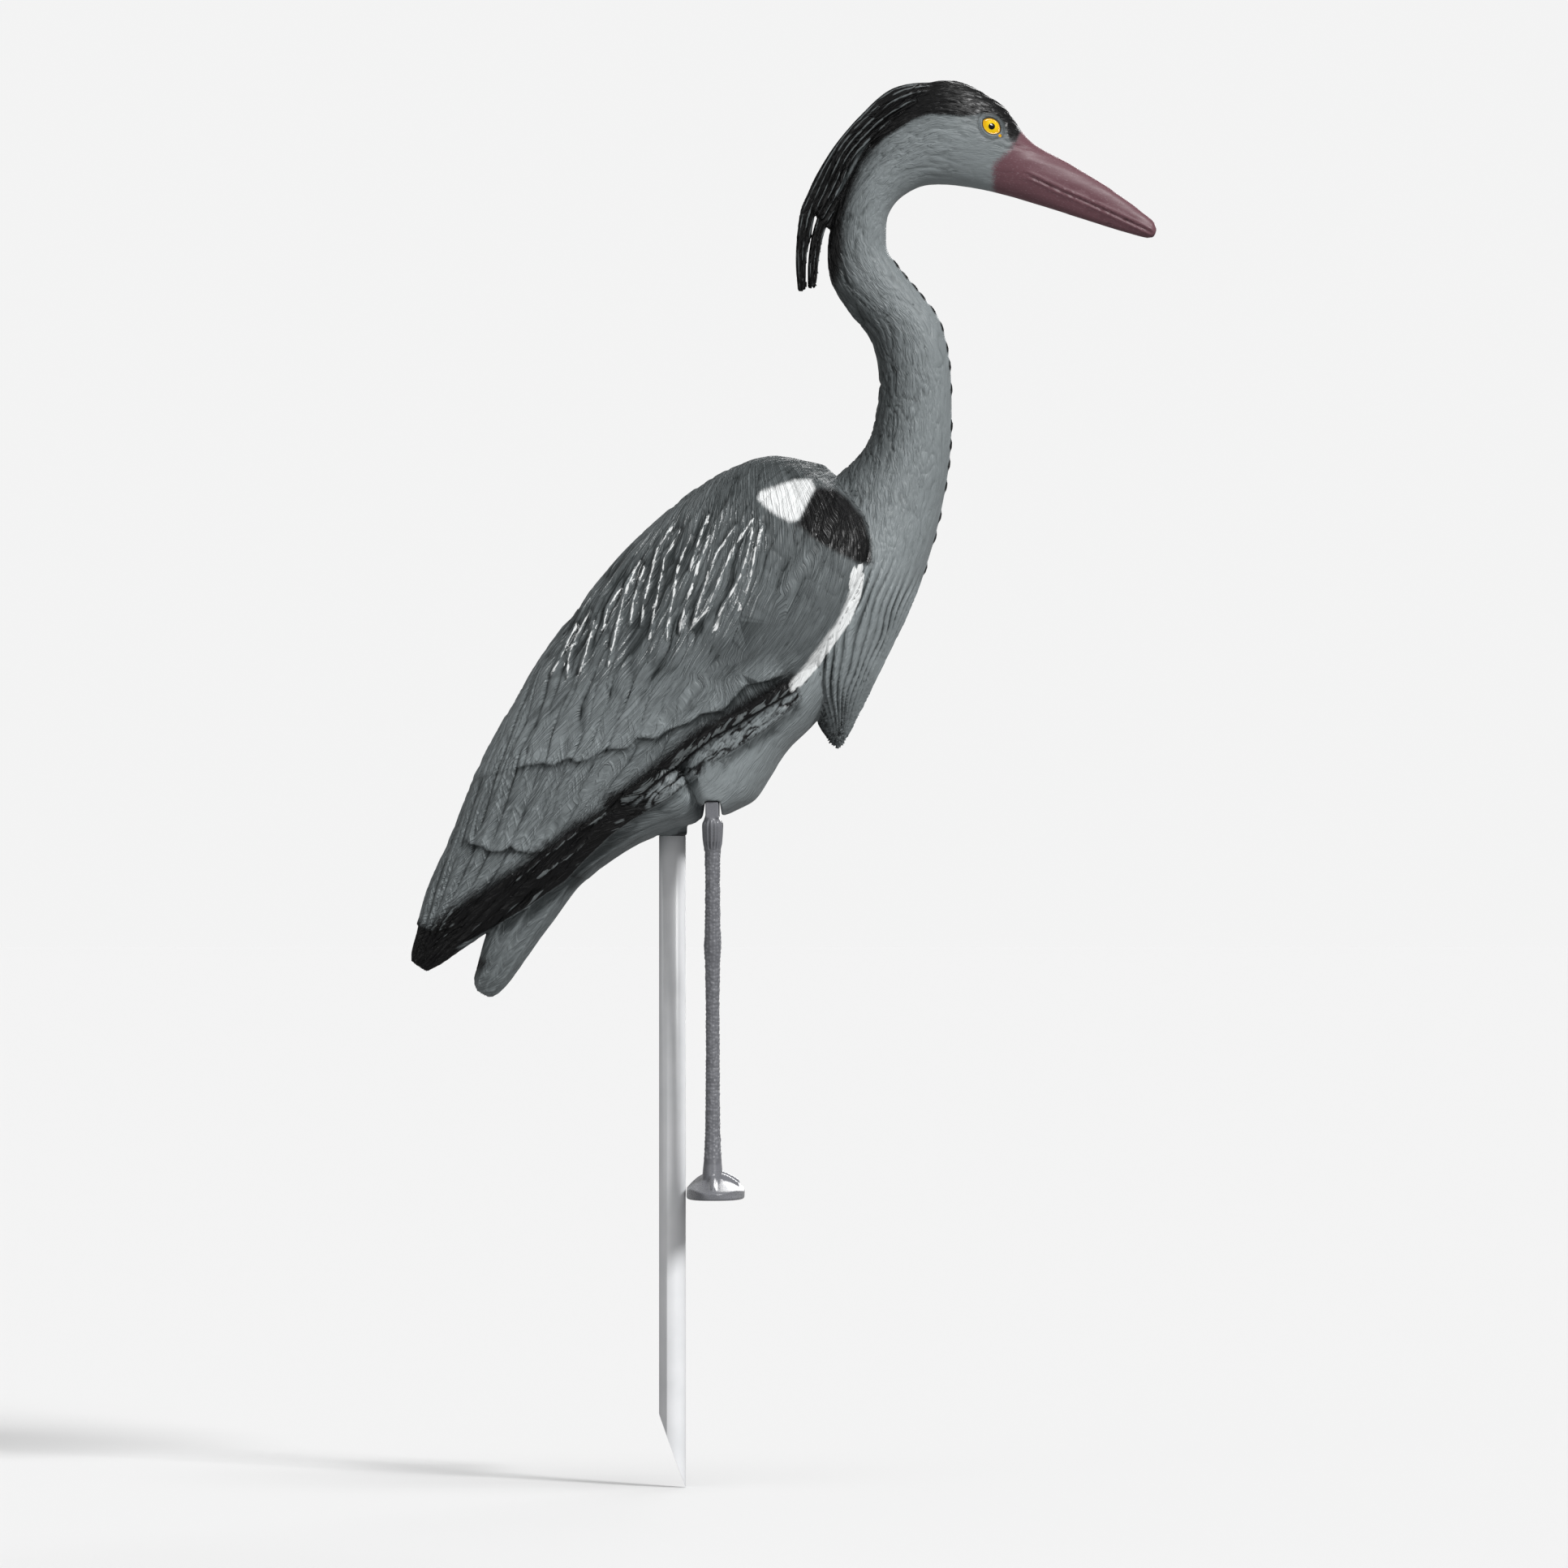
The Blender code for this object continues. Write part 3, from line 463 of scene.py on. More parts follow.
class Loft:
    """One lofted volume of the heron, and the coordinates that run along and round it."""

    def __init__(self, name: str, stations: tuple, shift: float, front: float,
                 rear: float) -> None:
        """Blend the stations.

        Args:
            name: The volume's name.
            stations: Its cross-sections.
            shift: Where the widest line lies, from -1 at the rear edge to 1 at the front.
            front: Power of the curve towards the front: 2 is an ellipse, more is boxier.
            rear: Power of the curve towards the rear.
        """
        self.name, self.shift, self.front, self.rear = name, shift, front, rear
        rows = self.blended(np.array(stations), 3.0)
        self.middle = (rows[:, 0:2] + rows[:, 2:4]) / 2.0
        self.reach = (rows[:, 2:4] - rows[:, 0:2]) / 2.0
        self.half = rows[:, 4]
        gaps = np.linalg.norm(np.diff(self.middle, axis=0), axis=1)
        self.length = np.concatenate([[0.0], np.cumsum(gaps)])

    @staticmethod
    def blended(stations: np.ndarray, step: float) -> np.ndarray:
        """Run cubic pieces through the stations.

        Args:
            stations: The given rows.
            step: Rough distance between the rows wanted.

        Returns:
            The rows in between, with the stations among them.
        """
        middles = (stations[:, 0:2] + stations[:, 2:4]) / 2.0
        runs = np.linalg.norm(np.diff(middles, axis=0), axis=1)
        knots = np.concatenate([[0.0], np.cumsum(runs)])
        last = len(stations) - 1
        low = np.maximum(np.arange(last + 1) - 1, 0)
        high = np.minimum(np.arange(last + 1) + 1, last)
        slopes = (stations[high] - stations[low]) / (knots[high] - knots[low])[:, None]
        rows = []
        for index in range(last):
            run = knots[index + 1] - knots[index]
            count = max(1, round(run / step))
            t = (np.arange(count) / count)[:, None]
            rows.append(
                (2 * t**3 - 3 * t**2 + 1) * stations[index]
                + (-2 * t**3 + 3 * t**2) * stations[index + 1]
                + (t**3 - 2 * t**2 + t) * run * slopes[index]
                + (t**3 - t**2) * run * slopes[index + 1]
            )
        return np.concatenate([*rows, stations[-1:]])

    def ring(self, angles: np.ndarray) -> tuple:
        """The section's curve from the front edge round one side to the rear.

        Args:
            angles: From 0 at the front edge to pi at the rear.

        Returns:
            Places between the edges, from 1 to -1, and shares of the half thickness.
        """
        forward = angles <= math.pi / 2.0 + 1e-9
        power = np.where(forward, self.front, self.rear)
        lengthways = np.abs(np.cos(angles)) ** (2.0 / power)
        out = np.abs(np.sin(angles)) ** (2.0 / power)
        place = np.where(forward, self.shift + lengthways * (1.0 - self.shift),
                         self.shift - lengthways * (1.0 + self.shift))
        return place, out

    def skin(self, steps: int = 40) -> bpy.types.Object:
        """Make the loft as a closed mesh.

        Args:
            steps: Faces round each half of it.

        Returns:
            The new object.
        """
        place, out = self.ring(np.linspace(0.0, math.pi, steps + 1))
        out[0] = out[-1] = 0.0
        place = np.concatenate([place, place[-2:0:-1]])
        out = np.concatenate([out, -out[-2:0:-1]])
        spots = self.middle[:, None, :] + self.reach[:, None, :] * place[None, :, None]
        sideways = self.half[:, None] * out[None, :]
        points = vector_field(spots[..., 0], sideways, spots[..., 1])
        rings, around = points.shape[:2]
        faces = ring_faces(rings, around) + cap_faces(rings, around)
        return new_object(self.name, mould_to_world(points.reshape(-1, 3)), faces)

    def locate(self, spots: np.ndarray) -> Flow:
        """Find where points lie along and round the loft.

        Args:
            spots: Points (u, y, w) in millimetres.

        Returns:
            Their flow coordinates.
        """
        u, y, w = spots.T
        along, place = self.first_guess(u, w)
        columns = (*self.middle.T, *self.reach.T)
        slopes = [np.gradient(column, self.length) for column in columns]
        for _ in range(5):
            mu, mw, ru, rw = (np.interp(along, self.length, column) for column in columns)
            au, aw, bu, bw = (np.interp(along, self.length, slope) for slope in slopes)
            miss_u, miss_w = u - mu - ru * place, w - mw - rw * place
            ju, jw = au + bu * place, aw + bw * place
            area = ju * rw - jw * ru
            area = np.where(np.abs(area) < 1e-3, 1e-3, area)
            along = along + np.clip((miss_u * rw - miss_w * ru) / area, -8.0, 8.0)
            along = np.clip(along, 0.0, self.length[-1])
            place = np.clip(place + np.clip((ju * miss_w - jw * miss_u) / area, -0.4, 0.4),
                            -1.5, 1.5)
        mu, mw, ru, rw = (np.interp(along, self.length, column) for column in columns)
        beyond = np.hypot(u - mu - ru * place, w - mw - rw * place)
        half, reach = np.interp(along, self.length, self.half), np.hypot(ru, rw)
        forward = place >= self.shift
        power = np.where(forward, self.front, self.rear)
        lengthways = np.abs(place - self.shift) / np.where(forward, 1 - self.shift, 1 + self.shift)
        out = np.abs(y) / half
        size = (lengthways**power + out**power) ** (1.0 / power)
        radial = np.hypot(place * reach, y) * np.abs(1.0 - 1.0 / np.maximum(size, 1e-3))
        turn = np.arctan2(out ** (power / 2), lengthways ** (power / 2))
        angle = np.where(forward, turn, math.pi - turn)
        share, girth = self.girth(along, angle)
        return Flow(along, share, share * girth, np.hypot(radial, beyond))

    def first_guess(self, u: np.ndarray, w: np.ndarray) -> tuple:
        """Look up a rough place on the loft from a coarse chart of the mould plane.

        Args:
            u: Forward places.
            w: Heights.

        Returns:
            Rough distances along the loft and places between its edges.
        """
        cell = 6.0
        low_u, low_w = u.min(), w.min()
        wide, tall = int((u.max() - low_u) / cell) + 1, int((w.max() - low_w) / cell) + 1
        places = np.linspace(-1.0, 1.0, 9)
        picked = np.arange(0, len(self.length), 3)
        grid = (self.middle[picked][:, None, :]
                + self.reach[picked][:, None, :] * places[None, :, None]).reshape(-1, 2)
        chart_u = low_u + (np.arange(wide) + 0.5) * cell
        nearest = np.empty((wide, tall), dtype=int)
        for column in range(tall):
            height = low_w + (column + 0.5) * cell
            gap = (chart_u[:, None] - grid[None, :, 0]) ** 2 + (height - grid[:, 1])[None] ** 2
            nearest[:, column] = gap.argmin(axis=1)
        found = nearest[((u - low_u) / cell).astype(int), ((w - low_w) / cell).astype(int)]
        return (self.length[picked][found // len(places)].astype(float),
                places[found % len(places)].astype(float))

    def girth(self, along: np.ndarray, angle: np.ndarray) -> tuple:
        """Place round the skin, and the length of half its girth.

        Args:
            along: Distances down the loft.
            angle: The curve's angles there.

        Returns:
            Shares of the way from the front edge to the rear, and half girths.
        """
        steps = 48
        place, out = self.ring(np.linspace(0.0, math.pi, steps + 1))
        reach = np.linalg.norm(self.reach, axis=1)
        step = np.hypot(np.diff(place)[None] * reach[:, None],
                        np.diff(out)[None] * self.half[:, None])
        walked = np.concatenate([np.zeros((len(step), 1)), np.cumsum(step, axis=1)], axis=1)
        total = walked[:, -1]
        shares = walked / total[:, None]
        row = np.interp(along, self.length, np.arange(len(self.length)))
        column = angle / math.pi * steps
        low_row = np.minimum(row.astype(int), len(self.length) - 2)
        low_column = np.minimum(column.astype(int), steps - 1)
        down, across = row - low_row, column - low_column
        top, bottom = (between(shares[line, low_column], shares[line, low_column + 1], across)
                       for line in (low_row, low_row + 1))
        return between(top, bottom, down), np.interp(along, self.length, total)


def linked(name: str, data: bpy.types.ID) -> bpy.types.Object:
    """Make an object of a mesh, a light or a camera, linked to the scene."""
    item = bpy.data.objects.new(name, data)
    bpy.context.scene.collection.objects.link(item)
    return item


def ring_faces(rings: int, around: int, closed: bool = False) -> list:
    """The faces between rings of vertices that follow each other.

    Args:
        rings: How many rings there are.
        around: Vertices in each ring.
        closed: Whether the last ring joins the first.

    Returns:
        Faces as rows of vertex numbers.
    """
    faces = []
    for ring in range(rings if closed else rings - 1):
        under = (ring + 1) % rings
        for index in range(around):
            after = (index + 1) % around
            faces.append((ring * around + index, ring * around + after,
                          under * around + after, under * around + index))
    return faces


def cap_faces(rings: int, around: int) -> list:
    """The faces that close the first and the last ring."""
    return [tuple(range(around - 1, -1, -1)),
            tuple((rings - 1) * around + index for index in range(around))]


def new_object(name: str, points: np.ndarray, faces: list) -> bpy.types.Object:
    """Make a mesh object whose faces point out, at the origin.

    Args:
        name: Its name.
        points: Its vertices in metres.
        faces: Its faces as rows of vertex numbers.

    Returns:
        The object, linked to the scene.
    """
    mesh = bpy.data.meshes.new(name)
    mesh.from_pydata(np.asarray(points).tolist(), [], faces)
    bm = bmesh.new()
    bm.from_mesh(mesh)
    bmesh.ops.recalc_face_normals(bm, faces=bm.faces)
    bm.to_mesh(mesh)
    bm.free()
    return linked(name, mesh)


def discard(*items: bpy.types.Object) -> None:
    """Delete construction objects and their meshes."""
    for item in items:
        mesh = item.data
        bpy.data.objects.remove(item, do_unlink=True)
        bpy.data.meshes.remove(mesh)


def settle(item: bpy.types.Object) -> bpy.types.Object:
    """Swap an object's mesh for the result of its modifiers, and drop the modifiers."""
    graph = bpy.context.evaluated_depsgraph_get()
    graph.update()
    finished = bpy.data.meshes.new_from_object(item.evaluated_get(graph))
    item.modifiers.clear()
    old = item.data
    item.data = finished
    bpy.data.meshes.remove(old)
    return item


def join_shape(target: bpy.types.Object, other: bpy.types.Object, operation: str) -> None:
    """Add a Boolean of another closed shape to the target.

    Args:
        target: The shape that changes.
        other: The shape that is added or cut out.
        operation: UNION or DIFFERENCE.
    """
    modifier = target.modifiers.new(other.name, "BOOLEAN")
    modifier.operation = operation
    modifier.object = other
    modifier.solver = "MANIFOLD"


def prism(name: str, outline: list, push: tuple) -> bpy.types.Object:
    """Push a flat outline along a vector into a closed block.

    Args:
        name: The block's name.
        outline: Points (x, y, z) in millimetres.
        push: The vector in millimetres; the block lies evenly about the outline.

    Returns:
        The block.
    """
    flat, move = np.array(outline, dtype=float), np.array(push, dtype=float)
    return skin_grid(name, np.stack([flat - move / 2.0, flat + move / 2.0]) * MM)


def revolve(name: str, profile: list, steps: int = 64) -> bpy.types.Object:
    """Turn a profile about the Z axis into a closed shape.

    Args:
        name: The shape's name.
        profile: Rows of radius and height in millimetres, the first and last near the axis.
        steps: Faces round it.

    Returns:
        The shape.
    """
    turns = full_turn(steps)
    radius, height = np.array(profile, dtype=float).T
    points = vector_field(radius[:, None] * np.cos(turns)[None],
                          radius[:, None] * np.sin(turns)[None],
                          np.repeat(height[:, None], steps, axis=1)) * MM
    return skin_grid(name, points)


def skin_grid(name: str, points: np.ndarray) -> bpy.types.Object:
    """Close a grid of rings into a capped skin.

    Args:
        name: The shape's name.
        points: Rings of points in metres.

    Returns:
        The shape.
    """
    rings, around = points.shape[:2]
    faces = cap_faces(rings, around) + ring_faces(rings, around)
    return new_object(name, points.reshape(-1, 3), faces)


def read_points(mesh: bpy.types.Mesh) -> np.ndarray:
    """A mesh's vertices in metres."""
    flat = np.empty(len(mesh.vertices) * 3, dtype=np.float32)
    mesh.vertices.foreach_get("co", flat)
    return flat.reshape(-1, 3).astype(float)


def read_normals(mesh: bpy.types.Mesh) -> np.ndarray:
    """The directions that a mesh's vertices face."""
    flat = np.empty(len(mesh.vertices) * 3, dtype=np.float32)
    mesh.vertex_normals.foreach_get("vector", flat)
    return flat.reshape(-1, 3).astype(float)


def write_points(mesh: bpy.types.Mesh, points: np.ndarray) -> None:
    """Move a mesh's vertices."""
    mesh.vertices.foreach_set("co", points.astype(np.float32).ravel())
    mesh.update()


def write_field(mesh: bpy.types.Mesh, name: str, values: np.ndarray) -> None:
    """Store three numbers at every vertex for the materials to read.

    Args:
        mesh: The mesh.
        name: The attribute's name.
        values: One row of three numbers for each vertex.
    """
    layer = mesh.attributes.new(name, "FLOAT_VECTOR", "POINT")
    layer.data.foreach_set("vector", values.astype(np.float32).ravel())


def soften(mesh: bpy.types.Mesh, rounds: int, strength: np.ndarray) -> None:
    """Round a mesh's inner and outer edges by moving each vertex towards its neighbours.

    Args:
        mesh: The mesh.
        rounds: How many times.
        strength: Share of the way that each vertex moves, from 0 to 1.
    """
    ends = np.empty(len(mesh.edges) * 2, dtype=np.int32)
    mesh.edges.foreach_get("vertices", ends)
    near, far = ends.reshape(-1, 2).T
    count = len(mesh.vertices)
    degree = np.bincount(near, minlength=count) + np.bincount(far, minlength=count)
    points = read_points(mesh)
    for _ in range(rounds):
        total = np.empty_like(points)
        for axis in range(3):
            column = points[:, axis]
            total[:, axis] = (np.bincount(near, column[far], minlength=count)
                              + np.bincount(far, column[near], minlength=count))
        points += (total / degree[:, None] - points) * strength[:, None]
    write_points(mesh, points)


def remeshed(item: bpy.types.Object, voxel: float) -> None:
    """Give a closed shape one even skin.

    Args:
        item: The shape.
        voxel: Size of the new faces in millimetres.
    """
    modifier = item.modifiers.new("even_skin", "REMESH")
    modifier.mode = "VOXEL"
    modifier.voxel_size = voxel * MM
    settle(item)


def thinned(item: bpy.types.Object, triangles: int) -> None:
    """Bring a mesh under a number of triangles, keeping them where the relief is.

    Args:
        item: The mesh object.
        triangles: The most that it may have.
    """
    item.data.calc_loop_triangles()
    now = len(item.data.loop_triangles)
    if now > triangles:
        modifier = item.modifiers.new("thinned", "DECIMATE")
        modifier.ratio = triangles / now
        settle(item)


def dress(item: bpy.types.Object, coat: bpy.types.Material) -> None:
    """Give a finished piece its one material and smooth shading."""
    item.data.materials.clear()
    item.data.materials.append(coat)
    item.data.shade_smooth()


def keep_in_box(points: np.ndarray, node: str) -> np.ndarray:
    """Hold points inside a CAD node's box.

    Args:
        points: Points in metres.
        node: The node's name.

    Returns:
        The points, moved in where they stood out.
    """
    low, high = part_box(node)
    margin = 0.1 * MM
    return np.clip(points, np.array(low) + margin, np.array(high) - margin)


class Wire:
    """A socket of a material's nodes, with arithmetic that adds the nodes it needs."""

    def __init__(self, tree: bpy.types.NodeTree, socket: bpy.types.NodeSocket) -> None:
        """Wrap a socket."""
        self.tree, self.socket = tree, socket

    def math(self, operation: str, *others: object) -> "Wire":
        """Add a Math node on this value and others."""
        return add_node(self.tree, "ShaderNodeMath", {"operation": operation},
                        dict(enumerate((self, *others))))

    def __add__(self, other: object) -> "Wire":
        """The sum."""
        return self.math("ADD", other)

    __radd__ = __add__

    def __sub__(self, other: object) -> "Wire":
        """The difference."""
        return self.math("SUBTRACT", other)

    def __rsub__(self, other: float) -> "Wire":
        """A number less this value."""
        return self.math("MULTIPLY_ADD", -1.0, other)

    def __mul__(self, other: object) -> "Wire":
        """The product."""
        return self.math("MULTIPLY", other)

    __rmul__ = __mul__

    def __pow__(self, other: object) -> "Wire":
        """This value to a power."""
        return self.math("POWER", other)

    def __abs__(self) -> "Wire":
        """This value without its sign."""
        return self.math("ABSOLUTE")

    def least(self, other: object) -> "Wire":
        """The smaller of two values."""
        return self.math("MINIMUM", other)

    def most(self, other: object) -> "Wire":
        """The larger of two values."""
        return self.math("MAXIMUM", other)

    def eased(self, low: float, high: float) -> "Wire":
        """Ease from 0 at low to 1 at high."""
        return add_node(self.tree, "ShaderNodeMapRange", {"interpolation_type": "SMOOTHSTEP"},
                        {"Value": self, "From Min": low, "From Max": high})


def add_node(tree: bpy.types.NodeTree, kind: str, settings: dict, inputs: dict,
             output: object = 0) -> Wire:
    """Add a node to a material.

    Args:
        tree: The material's nodes.
        kind: The node's type.
        settings: Its settings, set before its sockets.
        inputs: Values or wires for its sockets, by name or number.
        output: Which output to hand back.

    Returns:
        The output.
    """
    node = tree.nodes.new(kind)
    for name, value in settings.items():
        setattr(node, name, value)
    for name, value in inputs.items():
        socket = node.inputs[name]
        if isinstance(value, Wire):
            tree.links.new(value.socket, socket)
        else:
            socket.default_value = value
    return Wire(tree, node.outputs[output])


def shade(red: int, green: int, blue: int) -> tuple:
    """A colour from its display values, as the linear one that a shader takes."""
    linear = [(value / 255.0 / 12.92 if value <= 10 else ((value / 255.0 + 0.055) / 1.055) ** 2.4)
              for value in (red, green, blue)]
    return (*linear, 1.0)


class Painter:
    """Starts a material, and holds the few kinds of node that the finishes share."""

    def __init__(self, name: str) -> None:
        """Make an empty Principled material.

        Args:
            name: The material's name.
        """
        self.material = bpy.data.materials.new(name)
        self.material.use_nodes = True
        self.tree = self.material.node_tree
        self.shader = self.tree.nodes["Principled BSDF"]

    def node(self, kind: str, settings: dict, inputs: dict, output: object = 0) -> Wire:
        """Add any node to this material."""
        return add_node(self.tree, kind, settings, inputs, output)

    def field(self, name: str) -> tuple:
        """Read the three numbers of a vertex attribute."""
        vector = self.node("ShaderNodeAttribute", {"attribute_name": name}, {}, "Vector")
        node = self.node("ShaderNodeSeparateXYZ", {}, {"Vector": vector}).socket.node
        return tuple(Wire(self.tree, output) for output in node.outputs)

    def join(self, x: object, y: object, z: object = 0.0) -> Wire:
        """A vector from three numbers."""
        return self.node("ShaderNodeCombineXYZ", {}, {"X": x, "Y": y, "Z": z})

    def place(self) -> Wire:
        """The object's own coordinates in metres."""
        return self.node("ShaderNodeTexCoord", {}, {}, "Object")

    def grain(self, vector: Wire, scale: float, detail: float = 2.0,
              roughness: float = 0.55) -> Wire:
        """Noise from 0 to 1.

        Args:
            vector: Where it is read.
            scale: Waves to a unit.
            detail: How many finer layers it has.
            roughness: How strong those are.

        Returns:
            The noise.
        """
        return self.node("ShaderNodeTexNoise", {}, {
            "Vector": vector, "Scale": scale, "Detail": detail, "Roughness": roughness})

    def mix(self, share: object, first: object, second: object) -> Wire:
        """Blend two colours, the second by the share."""
        return self.node("ShaderNodeMix", {"data_type": "RGBA"}, {0: share, 6: first, 7: second}, 2)

    def scaled(self, vector: Wire, x: float, y: float, z: float = 1.0) -> Wire:
        """Stretch a vector by three numbers."""
        return self.node("ShaderNodeVectorMath", {"operation": "MULTIPLY"},
                         {0: vector, 1: (x, y, z)})

    def bump(self, height: Wire) -> None:
        """Feed a height in metres to the shader's normal."""
        normal = self.node("ShaderNodeBump", {}, {
            "Height": height, "Distance": 1.0, "Strength": 1.0})
        self.feed("Normal", normal)

    def feed(self, name: str, value: object) -> None:
        """Set or link a socket of the shader."""
        socket = self.shader.inputs[name]
        if isinstance(value, Wire):
            self.tree.links.new(value.socket, socket)
        else:
            socket.default_value = value


@dataclass(frozen=True)
class HeronPaint:
    """The body's finish: grey plastic with airbrushed black, white and mauve paint.

    Attributes:
        dark: The darkest grey of the back.
        light: The lightest grey of the cheek and neck.
        black: The black paint.
        white: The white paint.
        mauve: The bill's paint.
        mauve_pale: Its rubbed places.
        yellow: The iris.
    """

    dark: tuple = shade(52, 57, 58)
    light: tuple = shade(140, 147, 149)
    black: tuple = shade(10, 10, 11)
    white: tuple = shade(238, 240, 240)
    mauve: tuple = shade(109, 75, 82)
    mauve_pale: tuple = shade(138, 112, 119)
    yellow: tuple = shade(240, 200, 18)

    def material(self) -> bpy.types.Material:
        """Build the material from the fields that the body's mesh carries."""
        pot = Painter("heron_paint")
        along, around, grain_strength = pot.field("flow")
        barb, barb_strength, shaft = pot.field("barb")
        black_field, white_field, mauve_field = pot.field("paint")
        across, reach, run = pot.field("streak")
        tone, relief, brushed = pot.field("tone")
        eye_u, eye_w, eye_side = pot.field("eye")
        flow = pot.join(along, around)
        warp = (pot.grain(pot.scaled(flow, 0.05, 0.09), 1.0, 1.0) - 0.5) * 2.6
        bent = pot.join(along * 0.06, around * 0.42 + warp)
        fine = pot.grain(bent, 1.0, 1.2, 0.45)
        speckle = pot.grain(pot.place(), 1400.0, 1.0)
        cloud = pot.grain(pot.place(), 26.0, 2.0)
        brush = pot.grain(pot.scaled(flow, 0.3, 1.1), 1.0, 2.0)
        hairs = pot.grain(pot.join(barb * 0.21 + warp * 0.45, shaft * 0.12 + along * 0.01), 1.0,
                          1.2, 0.45)

        # The grey darkens in the relief's grooves and lightens on its crests: painted shade and
        # painted highlight.
        level = (tone + (cloud - 0.5) * 0.2 + (fine - 0.5) * grain_strength * 0.3 + relief * 0.14
                 + relief.least(0.0) * 0.3 + (hairs - 0.5) * barb_strength * 0.6)
        grey = pot.mix(level.eased(0.0, 1.0), self.dark, self.light)
        ragged = (speckle - 0.5) * 1.2 + (brush - 0.5) * 1.8 + relief * 0.3
        mauve = pot.mix(brush.eased(0.55, 0.8), self.mauve, self.mauve_pale)
        color = pot.mix((mauve_field + ragged * 1.3).eased(-1.0, 1.0), grey, mauve)
        black_cover = (black_field + ragged * 0.9).eased(-1.0, 1.0)
        # Black turns grey on the relief's crests: partly paint rubbed through to the plastic,
        # partly a painted highlight along the strands and quills.
        rub_and_glint = ((fine - 0.5) * 3.0 + relief * 0.75).eased(1.15, 1.45) * 0.65
        black = pot.mix(rub_and_glint, self.black, shade(118, 124, 125))
        color = pot.mix(black_cover, color, black)
        white_cover = (white_field + ragged).eased(-1.0, 1.0)
        color = pot.mix(white_cover, color, self.white)
        dry = (relief.least(1.0) * 0.4 + (fine - 0.5) * 2.4
               + (speckle - 0.5) * 1.8).eased(0.75, 1.0)
        color = pot.mix(dry * brushed * 0.75, color, self.white)
        dashes = pot.grain(pot.join(run * 0.11, across * 0.3), 1.0, 2.0, 0.55)
        width = (dashes - 0.43) * 6.0 + (speckle - 0.5) * 1.2
        streak = (width - abs(across)).eased(-0.2, 0.3) * (3.0 - reach).eased(0.0, 0.7)
        color = pot.mix(streak, color, self.white)
        color, eye = self.eye(pot, color, eye_u, eye_w, eye_side)
        pot.feed("Base Color", color)
        gloss = (0.47 + (fine - 0.5) * 0.16 - black_cover * 0.13
                 - mauve_field.eased(-1.0, 1.0) * 0.06)
        pot.feed("Roughness", gloss * (1.0 - eye) + eye * 0.16)
        cuts = (abs(fine * 2.0 - 1.0) * 4.0).least(1.0)
        slits = (abs(hairs * 2.0 - 1.0) * 2.8).least(1.0)
        height = (slits * barb_strength * 0.0003 + hairs * barb_strength * 0.0015
                  + cuts * grain_strength * 0.00035
                  + (fine - 0.5) * grain_strength * 0.0006 + (speckle - 0.5) * 0.00003)
        pot.bump(height * (1.0 - eye))
        pot.feed("Specular IOR Level", 0.3)
        return pot.material

    def eye(self, pot: Painter, color: Wire, u: Wire, w: Wire, side: Wire) -> tuple:
        """Paint the lid, the iris and the pupil.

        Args:
            pot: The material being built.
            color: The colour so far.
            u: Distance along the eye's slit from its middle.
            w: Distance across it.
            side: 1 on the sides of the head and 0 on its middle.

        Returns:
            The new colour and how much of the place is eyeball.
        """
        sink, arc = 2.44, 7.79
        upper = ((u * u + (w + sink) ** 2.0) ** 0.5) - arc
        lower = ((u * u + (w - sink) ** 2.0) ** 0.5) - arc
        rim = upper.most(lower)
        lid = pot.mix((w + 0.5).eased(0.0, 4.5), shade(112, 120, 123), shade(74, 80, 82))
        color = pot.mix((3.0 - rim).eased(-0.3, 0.3) * side, color, lid)
        color = pot.mix((0.75 - rim).eased(-0.3, 0.3) * side, color, shade(30, 32, 32))
        corner = (((u - 9.3) ** 2.0 + (w + 2.0) ** 2.0) ** 0.5 - 1.2)
        eye = (0.0 - rim.least(corner)).eased(-0.25, 0.25) * side
        radius = ((u - 0.3) ** 2.0 + (w + 0.1) ** 2.0) ** 0.5
        iris = pot.mix(radius.eased(2.6, 7.0), self.yellow, shade(228, 170, 14))
        iris = pot.mix((2.45 - radius).eased(-0.25, 0.25), iris, shade(14, 13, 12))
        return pot.mix(eye, color, iris), eye


@dataclass(frozen=True)
class LegPlastic:
    """The leg stand's finish: one grey plastic, with painted shade between its beads.

    Attributes:
        grey: The plastic's colour.
        hollow_shade: Its colour in the hollows, a painted shade.
    """

    grey: tuple = shade(124, 125, 130)
    hollow_shade: tuple = shade(88, 89, 94)

    def material(self) -> bpy.types.Material:
        """Build the material."""
        pot = Painter("leg_plastic")
        hollow, smooth, _ = pot.field("tone")
        fine = pot.grain(pot.place(), 900.0, 2.0)
        cloud = pot.grain(pot.place(), 40.0, 2.0)
        # Darker in the hollows between the leg's scales: painted shade.
        level = hollow + (cloud - 0.5) * 0.25 + (fine - 0.5) * 0.15
        pot.feed("Base Color", pot.mix(level.eased(0.0, 1.0), self.hollow_shade, self.grey))
        pot.feed("Roughness", 0.42 + (fine - 0.5) * 0.12 - smooth * 0.14)
        pot.bump((fine - 0.5) * 0.0001)
        return pot.material


@dataclass(frozen=True)
class TubePlastic:
    """The stake's finish: smooth white tube.

    Attributes:
        white: The plastic's colour.
    """

    white: tuple = shade(240, 241, 243)

    def material(self) -> bpy.types.Material:
        """Build the material."""
        pot = Painter("tube_plastic")
        place = pot.place()
        drawn = pot.grain(pot.scaled(place, 900.0, 900.0, 12.0), 1.0, 2.0)
        cloud = pot.grain(place, 30.0, 2.0)
        pot.feed("Base Color", pot.mix(cloud.eased(0.3, 0.8), self.white, shade(228, 230, 232)))
        pot.feed("Roughness", 0.27 + drawn * 0.1)
        pot.bump(drawn * 0.00003)
        return pot.material


